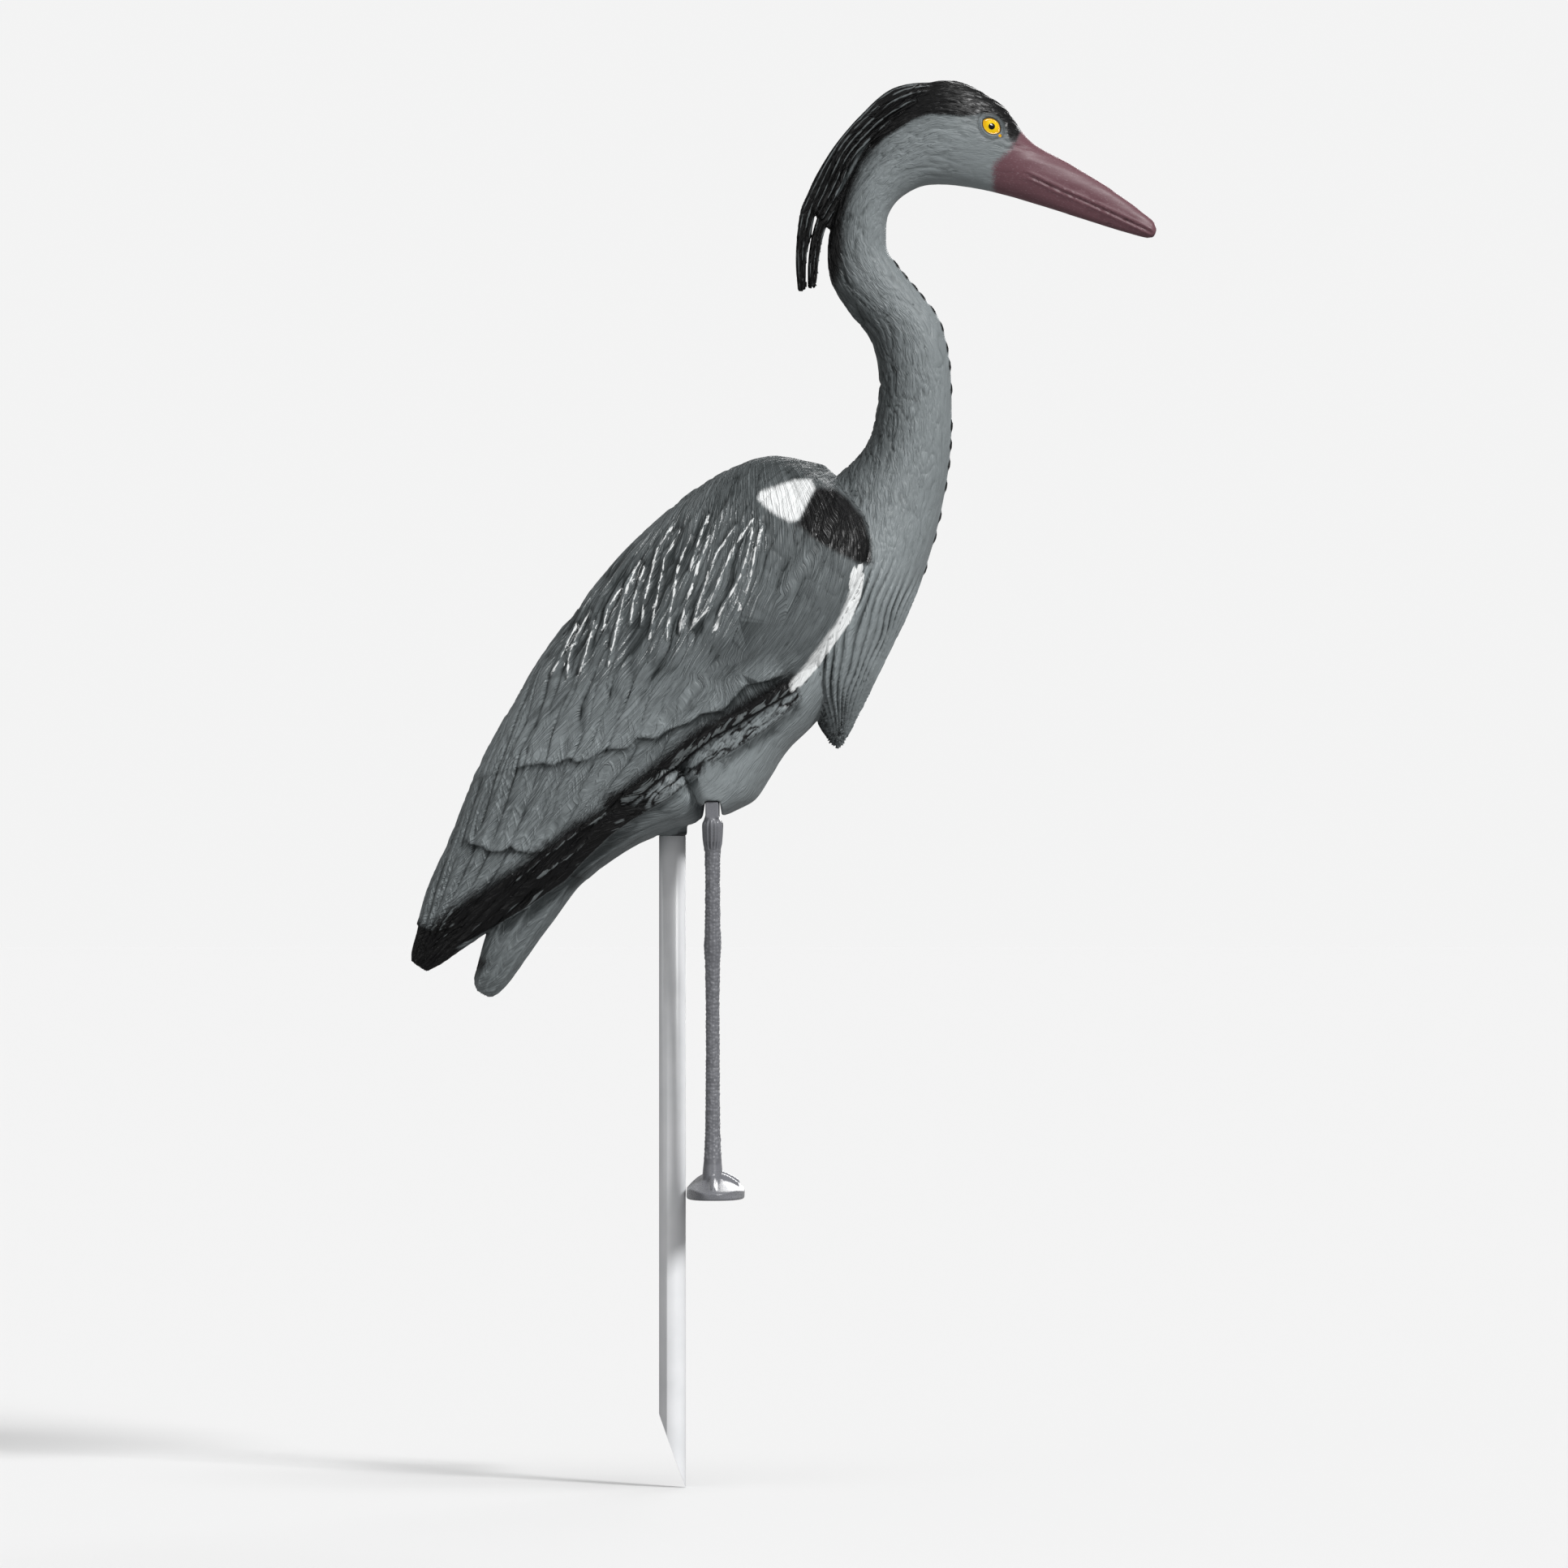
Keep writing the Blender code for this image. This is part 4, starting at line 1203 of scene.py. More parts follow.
class Region(Enum):
    """The parts of the body's skin that are carved in their own ways."""

    NECK = "heron_body"
    WINGS = "back_and_wings"
    BELLY = "belly_to_skirt"
    TAIL = "vent_to_tail"
    CREST = "crest"
    OUTER = "outer_strand"
    INNER = "inner_strand"


PLUMES = (Region.CREST, Region.OUTER, Region.INNER)
LOFTS = {region: Loft(region.value, *form) for region, form in (
    (Region.NECK, (BILL_TO_BREAST, 0.0, 2.0, 2.0)),
    (Region.WINGS, (BACK_AND_WINGS, 0.3, 4.5, 2.2)),
    (Region.BELLY, (BELLY_TO_SKIRT, 0.0, 2.8, 2.8)),
    (Region.TAIL, (VENT_TO_TAIL, 0.0, 2.4, 2.4)),
    (Region.CREST, (CREST, -0.1, 2.0, 2.0)),
    (Region.OUTER, (OUTER_STRAND, 0.0, 2.0, 2.0)),
    (Region.INNER, (INNER_STRAND, 0.0, 2.0, 2.0)),
)}


class Survey:
    """Where each vertex of the body's skin lies: its region and its place in the feathers."""

    def __init__(self, points: np.ndarray) -> None:
        """Measure the points.

        Args:
            points: Vertices in metres.
        """
        spots = world_to_mould(points)
        self.u, self.y, self.w = spots.T
        self.flows = {region: loft.locate(spots) for region, loft in LOFTS.items()}
        nearness = {region: hump(flow.gap, 1.6) + 1e-6 for region, flow in self.flows.items()}
        for region in (Region.OUTER, Region.INNER):
            nearness[region] = nearness[region] * smoothstep(474.0, 462.0, self.w) + 1e-6
        total = sum(nearness.values())
        self.share = {region: value / total for region, value in nearness.items()}
        self.certain = np.max(list(self.share.values()), axis=0)

    def plumes(self) -> np.ndarray:
        """How much of each vertex is in the crest and its strands."""
        return sum(self.share[region] for region in PLUMES)

    def on_side(self) -> np.ndarray:
        """0 on the body's middle plane and 1 on its two sides."""
        return smoothstep(10.0, 22.0, np.abs(self.y))

    def line(self, line: tuple) -> Trail:
        """Measure the vertices against a line of the mould plane."""
        return follow(line, self.u, self.w)

    def inside(self, outline: tuple) -> np.ndarray:
        """Measure the vertices against an outline of the mould plane."""
        return inside(outline, self.u, self.w)

    def pick(self, values: dict) -> np.ndarray:
        """Take one array for each region where most of a vertex is in it."""
        most = np.argmax([self.share[region] for region in values], axis=0)
        return np.choose(most, list(values.values()))

    def blend(self, values: dict) -> np.ndarray:
        """Mix one array for each region by how much of a vertex is in it."""
        return sum(self.share[region] * value for region, value in values.items())


@dataclass
class EyeCarving:
    """Each eye: an almond ball under a thick lid.

    Attributes:
        middle: Its middle in the mould plane.
        turn: How far the slit tips down towards the bill, in degrees.
        half_length: From the middle to a corner.
        half_height: From the middle to the lid.
        lid: The lid's width.
    """

    middle: tuple = (-27.3, 576.0)
    turn: float = 9.0
    half_length: float = 7.4
    half_height: float = 5.35
    lid: float = 3.2

    def axes(self, u: np.ndarray, w: np.ndarray) -> tuple:
        """Turn places of the mould plane to the eye's own, along and across the slit."""
        angle = math.radians(self.turn)
        du, dw = u - self.middle[0], w - self.middle[1]
        return (du * math.cos(angle) - dw * math.sin(angle),
                du * math.sin(angle) + dw * math.cos(angle))

    def rim(self, u: np.ndarray, w: np.ndarray) -> np.ndarray:
        """Distance from the almond's edge, negative on the eyeball."""
        radius = (self.half_length**2 + self.half_height**2) / (2.0 * self.half_height)
        sink = radius - self.half_height
        along, across = self.axes(u, w)
        return np.maximum(np.hypot(along, across + sink), np.hypot(along, across - sink)) - radius

    def height(self, u: np.ndarray, w: np.ndarray) -> np.ndarray:
        """How far the ball, the lid and the hollow round it stand out."""
        rim = self.rim(u, w)
        ball = 1.5 * smoothstep(0.3, -4.5, rim) - 0.5 * smoothstep(1.2, -0.4, rim)
        lid = 0.9 * hump(rim - self.lid * 0.55, 1.25)
        hollow = 0.55 * hump(rim - self.lid - 0.9, 0.9)
        return ball + lid - hollow


@dataclass
class Plumage:
    """The carving of the body's skin.

    Attributes:
        groove: Grain of the long grooves.
        crinkle: Grain of the short ones.
        wander: Grain that bends both.
        eye: The eyes.
    """

    groove: Grain = field(default_factory=lambda: Grain(11))
    crinkle: Grain = field(default_factory=lambda: Grain(23))
    wander: Grain = field(default_factory=lambda: Grain(37))
    eye: EyeCarving = field(default_factory=EyeCarving)

    def height(self, survey: Survey) -> np.ndarray:
        """How far each vertex stands out of the plain body, in millimetres."""
        values = {
            Region.NECK: self.neck(survey),
            Region.WINGS: self.wings(survey),
            Region.BELLY: self.belly(survey),
            Region.TAIL: self.tail(survey),
            Region.CREST: self.strands(survey, Region.CREST, 8.0),
            Region.OUTER: self.strands(survey, Region.OUTER, 4.0),
            Region.INNER: self.strands(survey, Region.INNER, 4.0),
        }
        height = survey.blend(values) + self.front_edge(survey)
        return height + 0.6 * self.vane_barbs(survey)

    def neck(self, survey: Survey) -> np.ndarray:
        """Bill, head, neck and breast."""
        flow, u, w = survey.flows[Region.NECK], survey.u, survey.w
        bill = smoothstep(-3.0, 3.0, survey.inside(BILL_MAUVE))
        crown = smoothstep(-9.0, 3.0, survey.inside(CROWN_BLACK)) * (1 - bill)
        breast = smoothstep(262.0, 225.0, w)
        wave = self.wander.at(flow.along / 18.0, flow.arc / 11.0) * 2.4
        crinkles = self.crinkle.strokes(flow.along / 14.0 + wave, flow.arc / 3.6 + wave)
        locks = self.groove.strokes(flow.along / 19.0, flow.arc / 3.0 + wave * 0.7)
        front = smoothstep(0.05, 0.22, flow.share)
        face = smoothstep(26.0, 12.0, np.hypot(u + 24.0, w - 552.0))
        amount = (0.36 + 0.5 * flow.share) * front * (1 - bill) * (1 - crown) * (1 - 0.7 * face)
        height = crinkles * amount * (1 - breast) + 0.62 * locks * crown * (1 - face * 0.4)
        phase = flow.share * 22.0 + 1.1 * self.wander.at(flow.along / 26.0, flow.share * 9.0)
        deep = self.wander.at(flow.along / 30.0 + 9.0, flow.share * 17.0)
        height += breast * (0.8 + 1.6 * deep) * self.lapping(phase)
        height += breast * 0.2 * self.crinkle.strokes(flow.along / 14.0, flow.share * 46.0)
        mouth = survey.line(MOUTH_LINE)
        lips = hump(mouth.reach - 1.9, 0.9) - 1.1 * hump(mouth.reach, 0.8)
        height += 0.85 * lips * bill * smoothstep(3.0, 14.0, mouth.along)
        height += bill * 0.2 * self.groove.ridges(flow.along / 34.0, flow.arc / 4.5)
        for cut, depth, width in ((PLUME_GAP, 0.9, 1.3), (LORAL_LINE, 0.6, 0.9),
                                  (LID_TAIL, 0.6, 1.0)):
            height -= depth * hump(survey.line(cut).reach, width)
        eye_rim = self.eye.rim(u, w)
        clear = smoothstep(self.eye.lid + 2.0, self.eye.lid, eye_rim)
        height = height * (1 - clear) + self.eye.height(u, w)
        return height + 1.5 * self.dashes(survey)

    @staticmethod
    def lapping(phase: np.ndarray) -> np.ndarray:
        """Locks that lap over each other: a slow rise and a quick fall in every turn."""
        turn = phase - np.floor(phase)
        rise, fall = 0.78, 0.22
        return np.where(turn < rise, turn / rise, (1.0 - turn) / fall) * 2.0 - 1.0

    def dashes(self, survey: Survey) -> np.ndarray:
        """The raised teardrops down both sides of the neck's front, from 0 to 1."""
        mark = np.zeros(survey.u.shape)
        for (u0, w0), (u1, w1) in zip(NECK_DASHES, (*NECK_DASHES[1:], (80.0, 245.0))):
            run = math.hypot(u1 - u0, w1 - w0)
            du, dw = (u1 - u0) / run, (w1 - w0) / run
            along = (survey.u - u0) * du + (survey.w - w0) * dw
            across = (survey.u - u0) * dw - (survey.w - w0) * du
            broad = 1.5 + 1.7 * smoothstep(-5.0, 4.0, along)
            sideways = (np.abs(survey.y) - 4.4) / broad
            mark = np.maximum(mark, np.exp(-np.abs(along / 4.6) ** 3 - sideways**2
                                           - (across / 8.0) ** 4))
        return mark

    def wings(self, survey: Survey) -> np.ndarray:
        """The mantle, the coverts and the long feathers of the folded wings."""
        flow = survey.flows[Region.WINGS]
        wave = self.wander.at(flow.along / 30.0, flow.share * 12.0)
        shoulder = smoothstep(110.0, 50.0, flow.along)
        rear = np.maximum(smoothstep(0.28, 0.5, flow.share),
                          0.6 * smoothstep(120.0, 170.0, flow.along))
        covert = survey.line(COVERT_EDGE)
        below = smoothstep(0.0, 7.0, covert.side) * smoothstep(0.0, 20.0, covert.along)
        swept = flow.share + self.sweep(flow)
        short = self.crinkle.strokes(flow.along / 13.0, swept * 46.0 + wave * 1.2)
        long = self.groove.strokes(flow.along / 60.0, swept * 32.0 + wave * 1.2)
        height = 0.5 * short * (0.45 + 0.55 * shoulder) * (1 - 0.5 * below)
        height += 1.5 * long * rear * (1 - 0.7 * shoulder) * (1 - 0.6 * below)
        shaft, _ = self.feather(flow)
        vane = flow.half_vane(WING_FEATHERS)
        height += below * (0.6 * hump(shaft, 1.2) - 0.8 * hump(vane - shaft, 1.3))
        for edge, step, ramp in ((covert, 1.8, 18.0), (survey.line(TERTIAL_EDGE), 1.6, 14.0),
                                 (survey.line(WING_TIP_EDGE), 1.5, 16.0)):
            height += self.lapped(edge, step, ramp)
        for quill in QUILLS:
            line = survey.line(quill)
            height += 2.0 * hump(line.reach, 1.2) * smoothstep(0.0, 6.0, line.along)
        for streak in STREAKS:
            line = survey.line(streak)
            height += 0.8 * hump(line.reach, 1.4)
            height -= 0.5 * hump(line.reach - 3.0, 1.3)
        return height

    @staticmethod
    def sweep(flow: Flow) -> np.ndarray:
        """How far the wings' grooves swing forward on their way down, in shares of the girth."""
        amount = np.maximum(smoothstep(0.2, 0.5, flow.share), smoothstep(140.0, 190.0, flow.along))
        return 0.0014 * flow.along * amount

    @staticmethod
    def front_edge(survey: Survey) -> np.ndarray:
        """The wing's lower front edge, which stands over the flank."""
        height = np.zeros(survey.u.shape)
        for line, up, down in ((PRIMARY_RIDGE, 1.9, 1.5), (WING_EDGE, 1.0, 1.6)):
            edge = survey.line(line)
            over = up * hump(edge.side, 6.0)
            under = -down * hump(edge.side - 1.8, 7.0)
            step = smoothstep(-0.4, 1.8, edge.side)
            height += edge.ends(8.0, 6.0) * between(over, under, step)
        return height * survey.on_side()

    def vane_barbs(self, survey: Survey) -> np.ndarray:
        """The coarse barbs of the long vane along the wing's front edge, from -1 to 1."""
        down = survey.u * 0.3 + survey.w * 0.95
        across = survey.u * 0.95 - survey.w * 0.3 + 2.5 * self.wander.at(survey.u / 9.0, down / 9.0)
        barbs = self.groove.strokes(down / 13.0 + 60.0, across / 3.4)
        vane = smoothstep(-1.0, 2.0, survey.inside(VANE_BLACK))
        return vane * barbs * survey.on_side()

    @staticmethod
    def lapped(edge: Trail, step: float, ramp: float) -> np.ndarray:
        """A row of feathers that lies over the next and ends in a step.

        Args:
            edge: How the vertices lie to the row's edge.
            step: Height of the step.
            ramp: How far back the row sinks to the skin.

        Returns:
            Heights in millimetres.
        """
        over = np.exp(-np.maximum(-edge.side, 0.0) / ramp) * smoothstep(0.9, -0.5, edge.side)
        return step * over * edge.ends(10.0, 14.0)

    def feather(self, flow: Flow) -> tuple:
        """Distance from the nearest shaft of the long feathers, and how far down its barbs run.

        Args:
            flow: The vertices' places on the wings.

        Returns:
            Distances from the shaft, and the barbs' running length.
        """
        sway = 0.5 * self.wander.at(flow.along / 55.0, flow.share * 4.0 + 40.0)
        across = (flow.share + self.sweep(flow)) * WING_FEATHERS + sway
        shaft = np.abs(across - np.floor(across) - 0.5) * 2.0 * flow.half_vane(WING_FEATHERS)
        return shaft, flow.along - 1.6 * shaft + 17.3 * np.floor(across)

    def belly(self, survey: Survey) -> np.ndarray:
        """The flank, the belly and the thigh feathers."""
        flow = survey.flows[Region.BELLY]
        grain = self.crinkle.strokes(flow.along / 20.0, flow.arc / 4.5)
        return 0.3 * grain + self.lapped(survey.line(SKIRT_EDGE), 1.2, 10.0)

    def tail(self, survey: Survey) -> np.ndarray:
        """The strokes under the tail and the tail's own feathers."""
        flow = survey.flows[Region.TAIL]
        long = self.groove.strokes(flow.along / 34.0, flow.share * 17.0)
        edge = self.lapped(survey.line(TAIL_EDGE), -1.2, 12.0)
        shafts = hump((flow.share * TAIL_FEATHERS) % 1.0 - 0.5, 0.1)
        late = smoothstep(70.0, 110.0, flow.along)
        return 0.5 * long * (1 - 0.6 * late) + 0.7 * shafts * late + edge

    def strands(self, survey: Survey, region: Region, count: float) -> np.ndarray:
        """The long parallel strands of the plumes."""
        flow = survey.flows[region]
        wave = 0.35 * self.wander.at(flow.along / 40.0, flow.share * 3.0)
        ranks = np.cos(math.tau * (flow.share * count + wave))
        return 1.3 * np.abs(ranks) ** 0.7 * np.sign(ranks)


@dataclass
class PaintPlan:
    """Where the body's paint lies.

    Attributes:
        eye: The eyes, for their own coordinates.
    """

    eye: EyeCarving = field(default_factory=EyeCarving)

    def store(self, mesh: bpy.types.Mesh, plumage: Plumage) -> None:
        """Write every field that the body's material reads.

        Args:
            mesh: The finished body mesh.
            plumage: The carving, for its heights.
        """
        survey = Survey(read_points(mesh))
        relief = plumage.height(survey)
        stretch = {Region.NECK: 1.5, Region.WINGS: 0.6}
        along = survey.pick({region: survey.flows[region].along * stretch.get(region, 1.0)
                             for region in Region})
        arcs = {region: survey.flows[region].arc for region in Region}
        arcs[Region.WINGS] = arcs[Region.WINGS] + 250.0 * plumage.sweep(survey.flows[Region.WINGS])
        arc = survey.pick(arcs)
        far_side_shift = 400.0
        side = np.where(survey.y > 0.0, far_side_shift, 0.0)
        calm = smoothstep(0.55, 0.9, survey.certain)
        bill = smoothstep(-2.0, 2.0, survey.inside(BILL_MAUVE))
        neck = survey.flows[Region.NECK]
        front = survey.share[Region.NECK] * smoothstep(0.55, 0.15, neck.share)
        face = survey.share[Region.NECK] * smoothstep(-75.0, -45.0, survey.u) * (survey.w > 515.0)
        wings = survey.flows[Region.WINGS]
        rear = survey.share[Region.WINGS] * smoothstep(0.3, 0.5, wings.share)
        grain = calm * (1 - 0.93 * bill) * (1 - 0.55 * front) * (1 - 0.6 * face) * (1 + 0.8 * rear)
        write_field(mesh, "flow", vector_field(along, arc + side, grain))
        write_field(mesh, "barb", self.barbs(survey, plumage, calm))
        write_field(mesh, "paint", self.paint(survey, plumage))
        write_field(mesh, "streak", self.streaks(survey))
        # The plumes' relief counts for more here, which brightens the painted highlights along
        # their strands.
        relief = relief * (1.0 + 0.7 * survey.plumes())
        brushed = survey.share[Region.WINGS] * smoothstep(-12.0, 6.0, survey.inside(BRUSHED))
        write_field(mesh, "tone", vector_field(self.tone(survey), np.clip(relief, -2.0, 2.0),
                                               brushed))
        eye_along, eye_across = self.eye.axes(survey.u, survey.w)
        outward = smoothstep(6.0, 9.0, np.abs(survey.y))
        write_field(mesh, "eye", vector_field(eye_along, eye_across, outward))

    @staticmethod
    def barbs(survey: Survey, plumage: Plumage, calm: np.ndarray) -> np.ndarray:
        """The barbs' running length and strength, and the distance from their shaft."""
        flow = survey.flows[Region.WINGS]
        shaft, run = plumage.feather(flow)
        covert = survey.line(COVERT_EDGE)
        strength = (0.25 + 0.75 * smoothstep(-25.0, 4.0, covert.side)) * smoothstep(
            110.0, 150.0, flow.along) * survey.share[Region.WINGS] * calm
        tail_flow = survey.flows[Region.TAIL]
        tail = survey.share[Region.TAIL] * calm * smoothstep(60.0, 110.0, tail_flow.along)
        vane = tail_flow.half_vane(TAIL_FEATHERS)
        tail_shaft = np.abs((tail_flow.share * TAIL_FEATHERS) % 1.0 - 0.5) * 2.0 * vane
        run = np.where(tail > strength, tail_flow.along - 1.9 * tail_shaft, run)
        return vector_field(run, np.maximum(strength, 0.6 * tail),
                            np.where(tail > strength, tail_shaft, shaft))

    @staticmethod
    def paint(survey: Survey, plumage: Plumage) -> np.ndarray:
        """Black, white and mauve, each from below -1 off the paint to above 1 on it."""
        outward = np.abs(survey.y)
        ridge = survey.line(PRIMARY_RIDGE)
        airbrush = np.where(ridge.side < 0.0, (12.0 + ridge.side) / 5.0, (2.4 - ridge.side) / 1.2)
        vane = np.minimum(survey.inside(VANE_BLACK) / 1.5, 0.6 - 1.5 * plumage.vane_barbs(survey))
        wing_edge = np.maximum((0.6 - survey.line(WING_EDGE).side) / 0.7, (-150.0 - survey.w) / 3.0)
        band = np.minimum(survey.inside(WING_BAND_BLACK) / 5.0 + 0.6, wing_edge)
        low = np.maximum.reduce([band, airbrush, vane])
        low = np.where((outward < 14.0) & (survey.w > -40.0), -PAINT_LIMIT, low)
        black = np.maximum.reduce([
            survey.inside(CROWN_BLACK) / 1.6,
            survey.inside(NAPE_BLACK) / 4.5,
            survey.inside(SHOULDER_BLACK) / 2.6,
            low,
            (survey.plumes() - 0.5) * 4.0,
            (plumage.dashes(survey) - 0.4) * 6.0,
        ])
        black -= 4.0 * hump(survey.line(PLUME_GAP).reach, 1.2)
        edge = survey.line(EDGE_WHITE)
        width = 3.0 + 1.4 * plumage.wander.at(edge.along / 9.0, edge.along * 0.0 + 3.0)
        width += 2.5 * smoothstep(16.0, 4.0, edge.along)
        stripe = np.minimum((width + 3.0 + edge.side) / 1.8, (1.6 - edge.side) / 0.6)
        stripe = np.where(edge.reach > 9.0, -PAINT_LIMIT, stripe)
        stripe = np.minimum(stripe, np.minimum(edge.along + 1.0, edge.length + 1.0 - edge.along))
        white = np.maximum(survey.inside(SHOULDER_WHITE) / 2.0, stripe)
        white = np.where(outward < 12.0, -PAINT_LIMIT, white)
        mauve = survey.inside(BILL_MAUVE) / 3.0
        return np.clip(vector_field(black, white, mauve), -PAINT_LIMIT, PAINT_LIMIT)

    @staticmethod
    def streaks(survey: Survey) -> np.ndarray:
        """Distances from the nearest white streak, with and without a sign, and along it."""
        farthest, apart = 9.0, 60.0
        reach = np.full(survey.u.shape, 1e9)
        side, run = np.zeros(survey.u.shape), np.zeros(survey.u.shape)
        for index, streak in enumerate(STREAKS):
            line = survey.line(streak)
            nearer = line.reach < reach
            reach = np.where(nearer, line.reach, reach)
            side = np.where(nearer, line.side, side)
            run = np.where(nearer, line.along + apart * index, run)
        off = survey.share[Region.WINGS] < 0.5
        return vector_field(np.clip(side, -farthest, farthest),
                            np.where(off, farthest, np.clip(reach, 0.0, farthest)), run)

    @staticmethod
    def tone(survey: Survey) -> np.ndarray:
        """The grey, from 0 dark to 1 light: the plastic's own, with painted shade under the
        feathers' edges and towards the neck's rear, a painted highlight along those edges, and
        painted light on the lower wings.
        """
        wings = survey.flows[Region.WINGS]
        neck = survey.flows[Region.NECK]
        back = 0.4 - 0.16 * smoothstep(0.3, 0.75, wings.share)
        # Lighter down the wings: partly the darker airbrush of the mantle above, partly painted
        # light where the lower wing turns away from the lamps.
        back = back + 0.34 * smoothstep(170.0, 320.0, wings.along)
        for line in (COVERT_EDGE, TERTIAL_EDGE, WING_TIP_EDGE):
            edge = survey.line(line)
            ends = edge.ends(6.0, 6.0)
            # Painted shade on the feathers just under each row's step, and a painted highlight
            # along the row's edge above it.
            back = back - 0.4 * ends * smoothstep(-0.6, 0.6, edge.side) * smoothstep(
                6.0, 1.0, edge.side)
            back = back + 0.14 * ends * smoothstep(-6.0, -1.0, edge.side) * smoothstep(
                0.4, -0.4, edge.side)
        plume = 0.3
        return survey.blend({
            # The neck darkens towards its rear: painted shade.
            Region.NECK: 0.8 - 0.5 * smoothstep(0.35, 0.9, neck.share)
            - 0.12 * smoothstep(500.0, 440.0, survey.w) * smoothstep(230.0, 300.0, survey.w)
            - 0.4 * smoothstep(586.0, 592.0, survey.w),
            Region.WINGS: back,
            Region.BELLY: 0.92,
            Region.TAIL: 0.55 + 0.45 * smoothstep(-40.0, 30.0, survey.w),
            **dict.fromkeys(PLUMES, plume),
        })


@dataclass
class HeronBody:
    """The hollow blow-moulded body in one piece.

    Attributes:
        voxel: Size of its even skin's faces in millimetres.
        triangles: The most that its mesh may have.
        plumage: Its carving.
        paint: Where its paint lies.
        finish: Its material.
    """

    voxel: float = 0.95
    triangles: int = 196000
    plumage: Plumage = field(default_factory=Plumage)
    paint: PaintPlan = field(default_factory=PaintPlan)
    finish: HeronPaint = field(default_factory=HeronPaint)

    def build(self) -> bpy.types.Object:
        """Make the carved, painted body.

        Returns:
            The finished piece.
        """
        body = self.plain()
        remeshed(body, self.voxel)
        soften(body.data, 4, np.full(len(body.data.vertices), 0.5))
        points = read_points(body.data)
        survey = Survey(points)
        seams = smoothstep(0.97, 0.55, survey.certain) * self.free_of_cuts(points)
        soften(body.data, 14, 0.5 * seams)
        points = read_points(body.data)
        height = self.plumage.height(survey) * self.free_of_cuts(points)
        carved = points + read_normals(body.data) * (height * MM)[:, None]
        write_points(body.data, keep_in_box(carved, "heron_body"))
        thinned(body, self.triangles)
        self.paint.store(body.data, self.plumage)
        dress(body, self.finish.material())
        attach(body, "root")
        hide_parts("heron_body")
        return body

    def plain(self) -> bpy.types.Object:
        """Join the lofts, the eyes and the peg, and cut the slot for the bar."""
        skins = [loft.skin() for loft in LOFTS.values()]
        body, others = skins[0], skins[1:]
        for other in others:
            join_shape(body, other, "UNION")
        peg = self.peg()
        join_shape(body, peg, "UNION")
        cutters = self.cutters()
        for cutter in cutters:
            join_shape(body, cutter, "DIFFERENCE")
        settle(body)
        discard(*others, peg, *cutters)
        body.name = "carved_heron_body"
        return body

    @staticmethod
    def peg() -> bpy.types.Object:
        """The peg under the belly, with the collar that the tube butts on."""
        profile = [(0.01, PEG_ROOT), (11.0, PEG_ROOT), (11.0, 271.3), (10.3, 270.5),
                   (8.7, 270.5)]
        profile += [(3.7 + 5.0 * math.cos(math.radians(angle)),
                     246.5 - 5.0 * math.sin(math.radians(angle))) for angle in range(0, 91, 15)]
        return revolve("belly_peg", [*profile, (0.01, 241.5)])

    @staticmethod
    def cutters() -> list:
        """The slot across the belly and the two cavities in it."""
        slot = [(STAND_X + x, 0.0, z) for x, z in (
            (-8.0, 268.0), (8.0, 268.0), (8.0, 280.0), (5.5, 296.4), (-5.5, 296.4), (-8.0, 280.0))]
        cutters = [prism("bar_slot", slot, (0.0, 160.0, 0.0))]
        for side in (-1, 1):
            outline = [(STAND_X, BARB_Y * side + y, z) for y, z in barb_outline(0.4)]
            cutters.append(prism("barb_cavity", outline, (8.8, 0.0, 0.0)))
        return cutters

    @staticmethod
    def free_of_cuts(points: np.ndarray) -> np.ndarray:
        """0 in the slot, the cavities and on the peg, and 1 on the feathers.

        Args:
            points: Vertices in metres.

        Returns:
            Shares for the carving's height.
        """
        x, y, z = points.T / MM
        slot = smoothstep(10.0, 13.0, np.abs(x - STAND_X)) + smoothstep(325.0, 328.0, z)
        slot += smoothstep(80.0, 83.0, np.abs(y))
        peg = smoothstep(11.5, 15.0, np.hypot(x, y)) + smoothstep(PEG_ROOT, PEG_ROOT + 4.0, z)
        return np.clip(slot, 0.0, 1.0) * np.clip(peg, 0.0, 1.0)


def barb_outline(grow: float) -> list:
    """The arrowhead that snaps up into the body, grown on every side for its cavity.

    Args:
        grow: By how much, in millimetres.

    Returns:
        Points (y, z) about its own middle.
    """
    head, shaft = 6.7 + grow, 5.1 + grow
    tip, shoulder, foot = 323.0 + grow, 304.3 - grow, 292.0
    right = [(shaft, foot), (shaft, shoulder), (head, shoulder + 1.0),
             (head * 0.85, shoulder + 6.0), (head * 0.58, tip - 5.0), (head * 0.25, tip)]
    return right + [(-y, z) for y, z in reversed(right)]


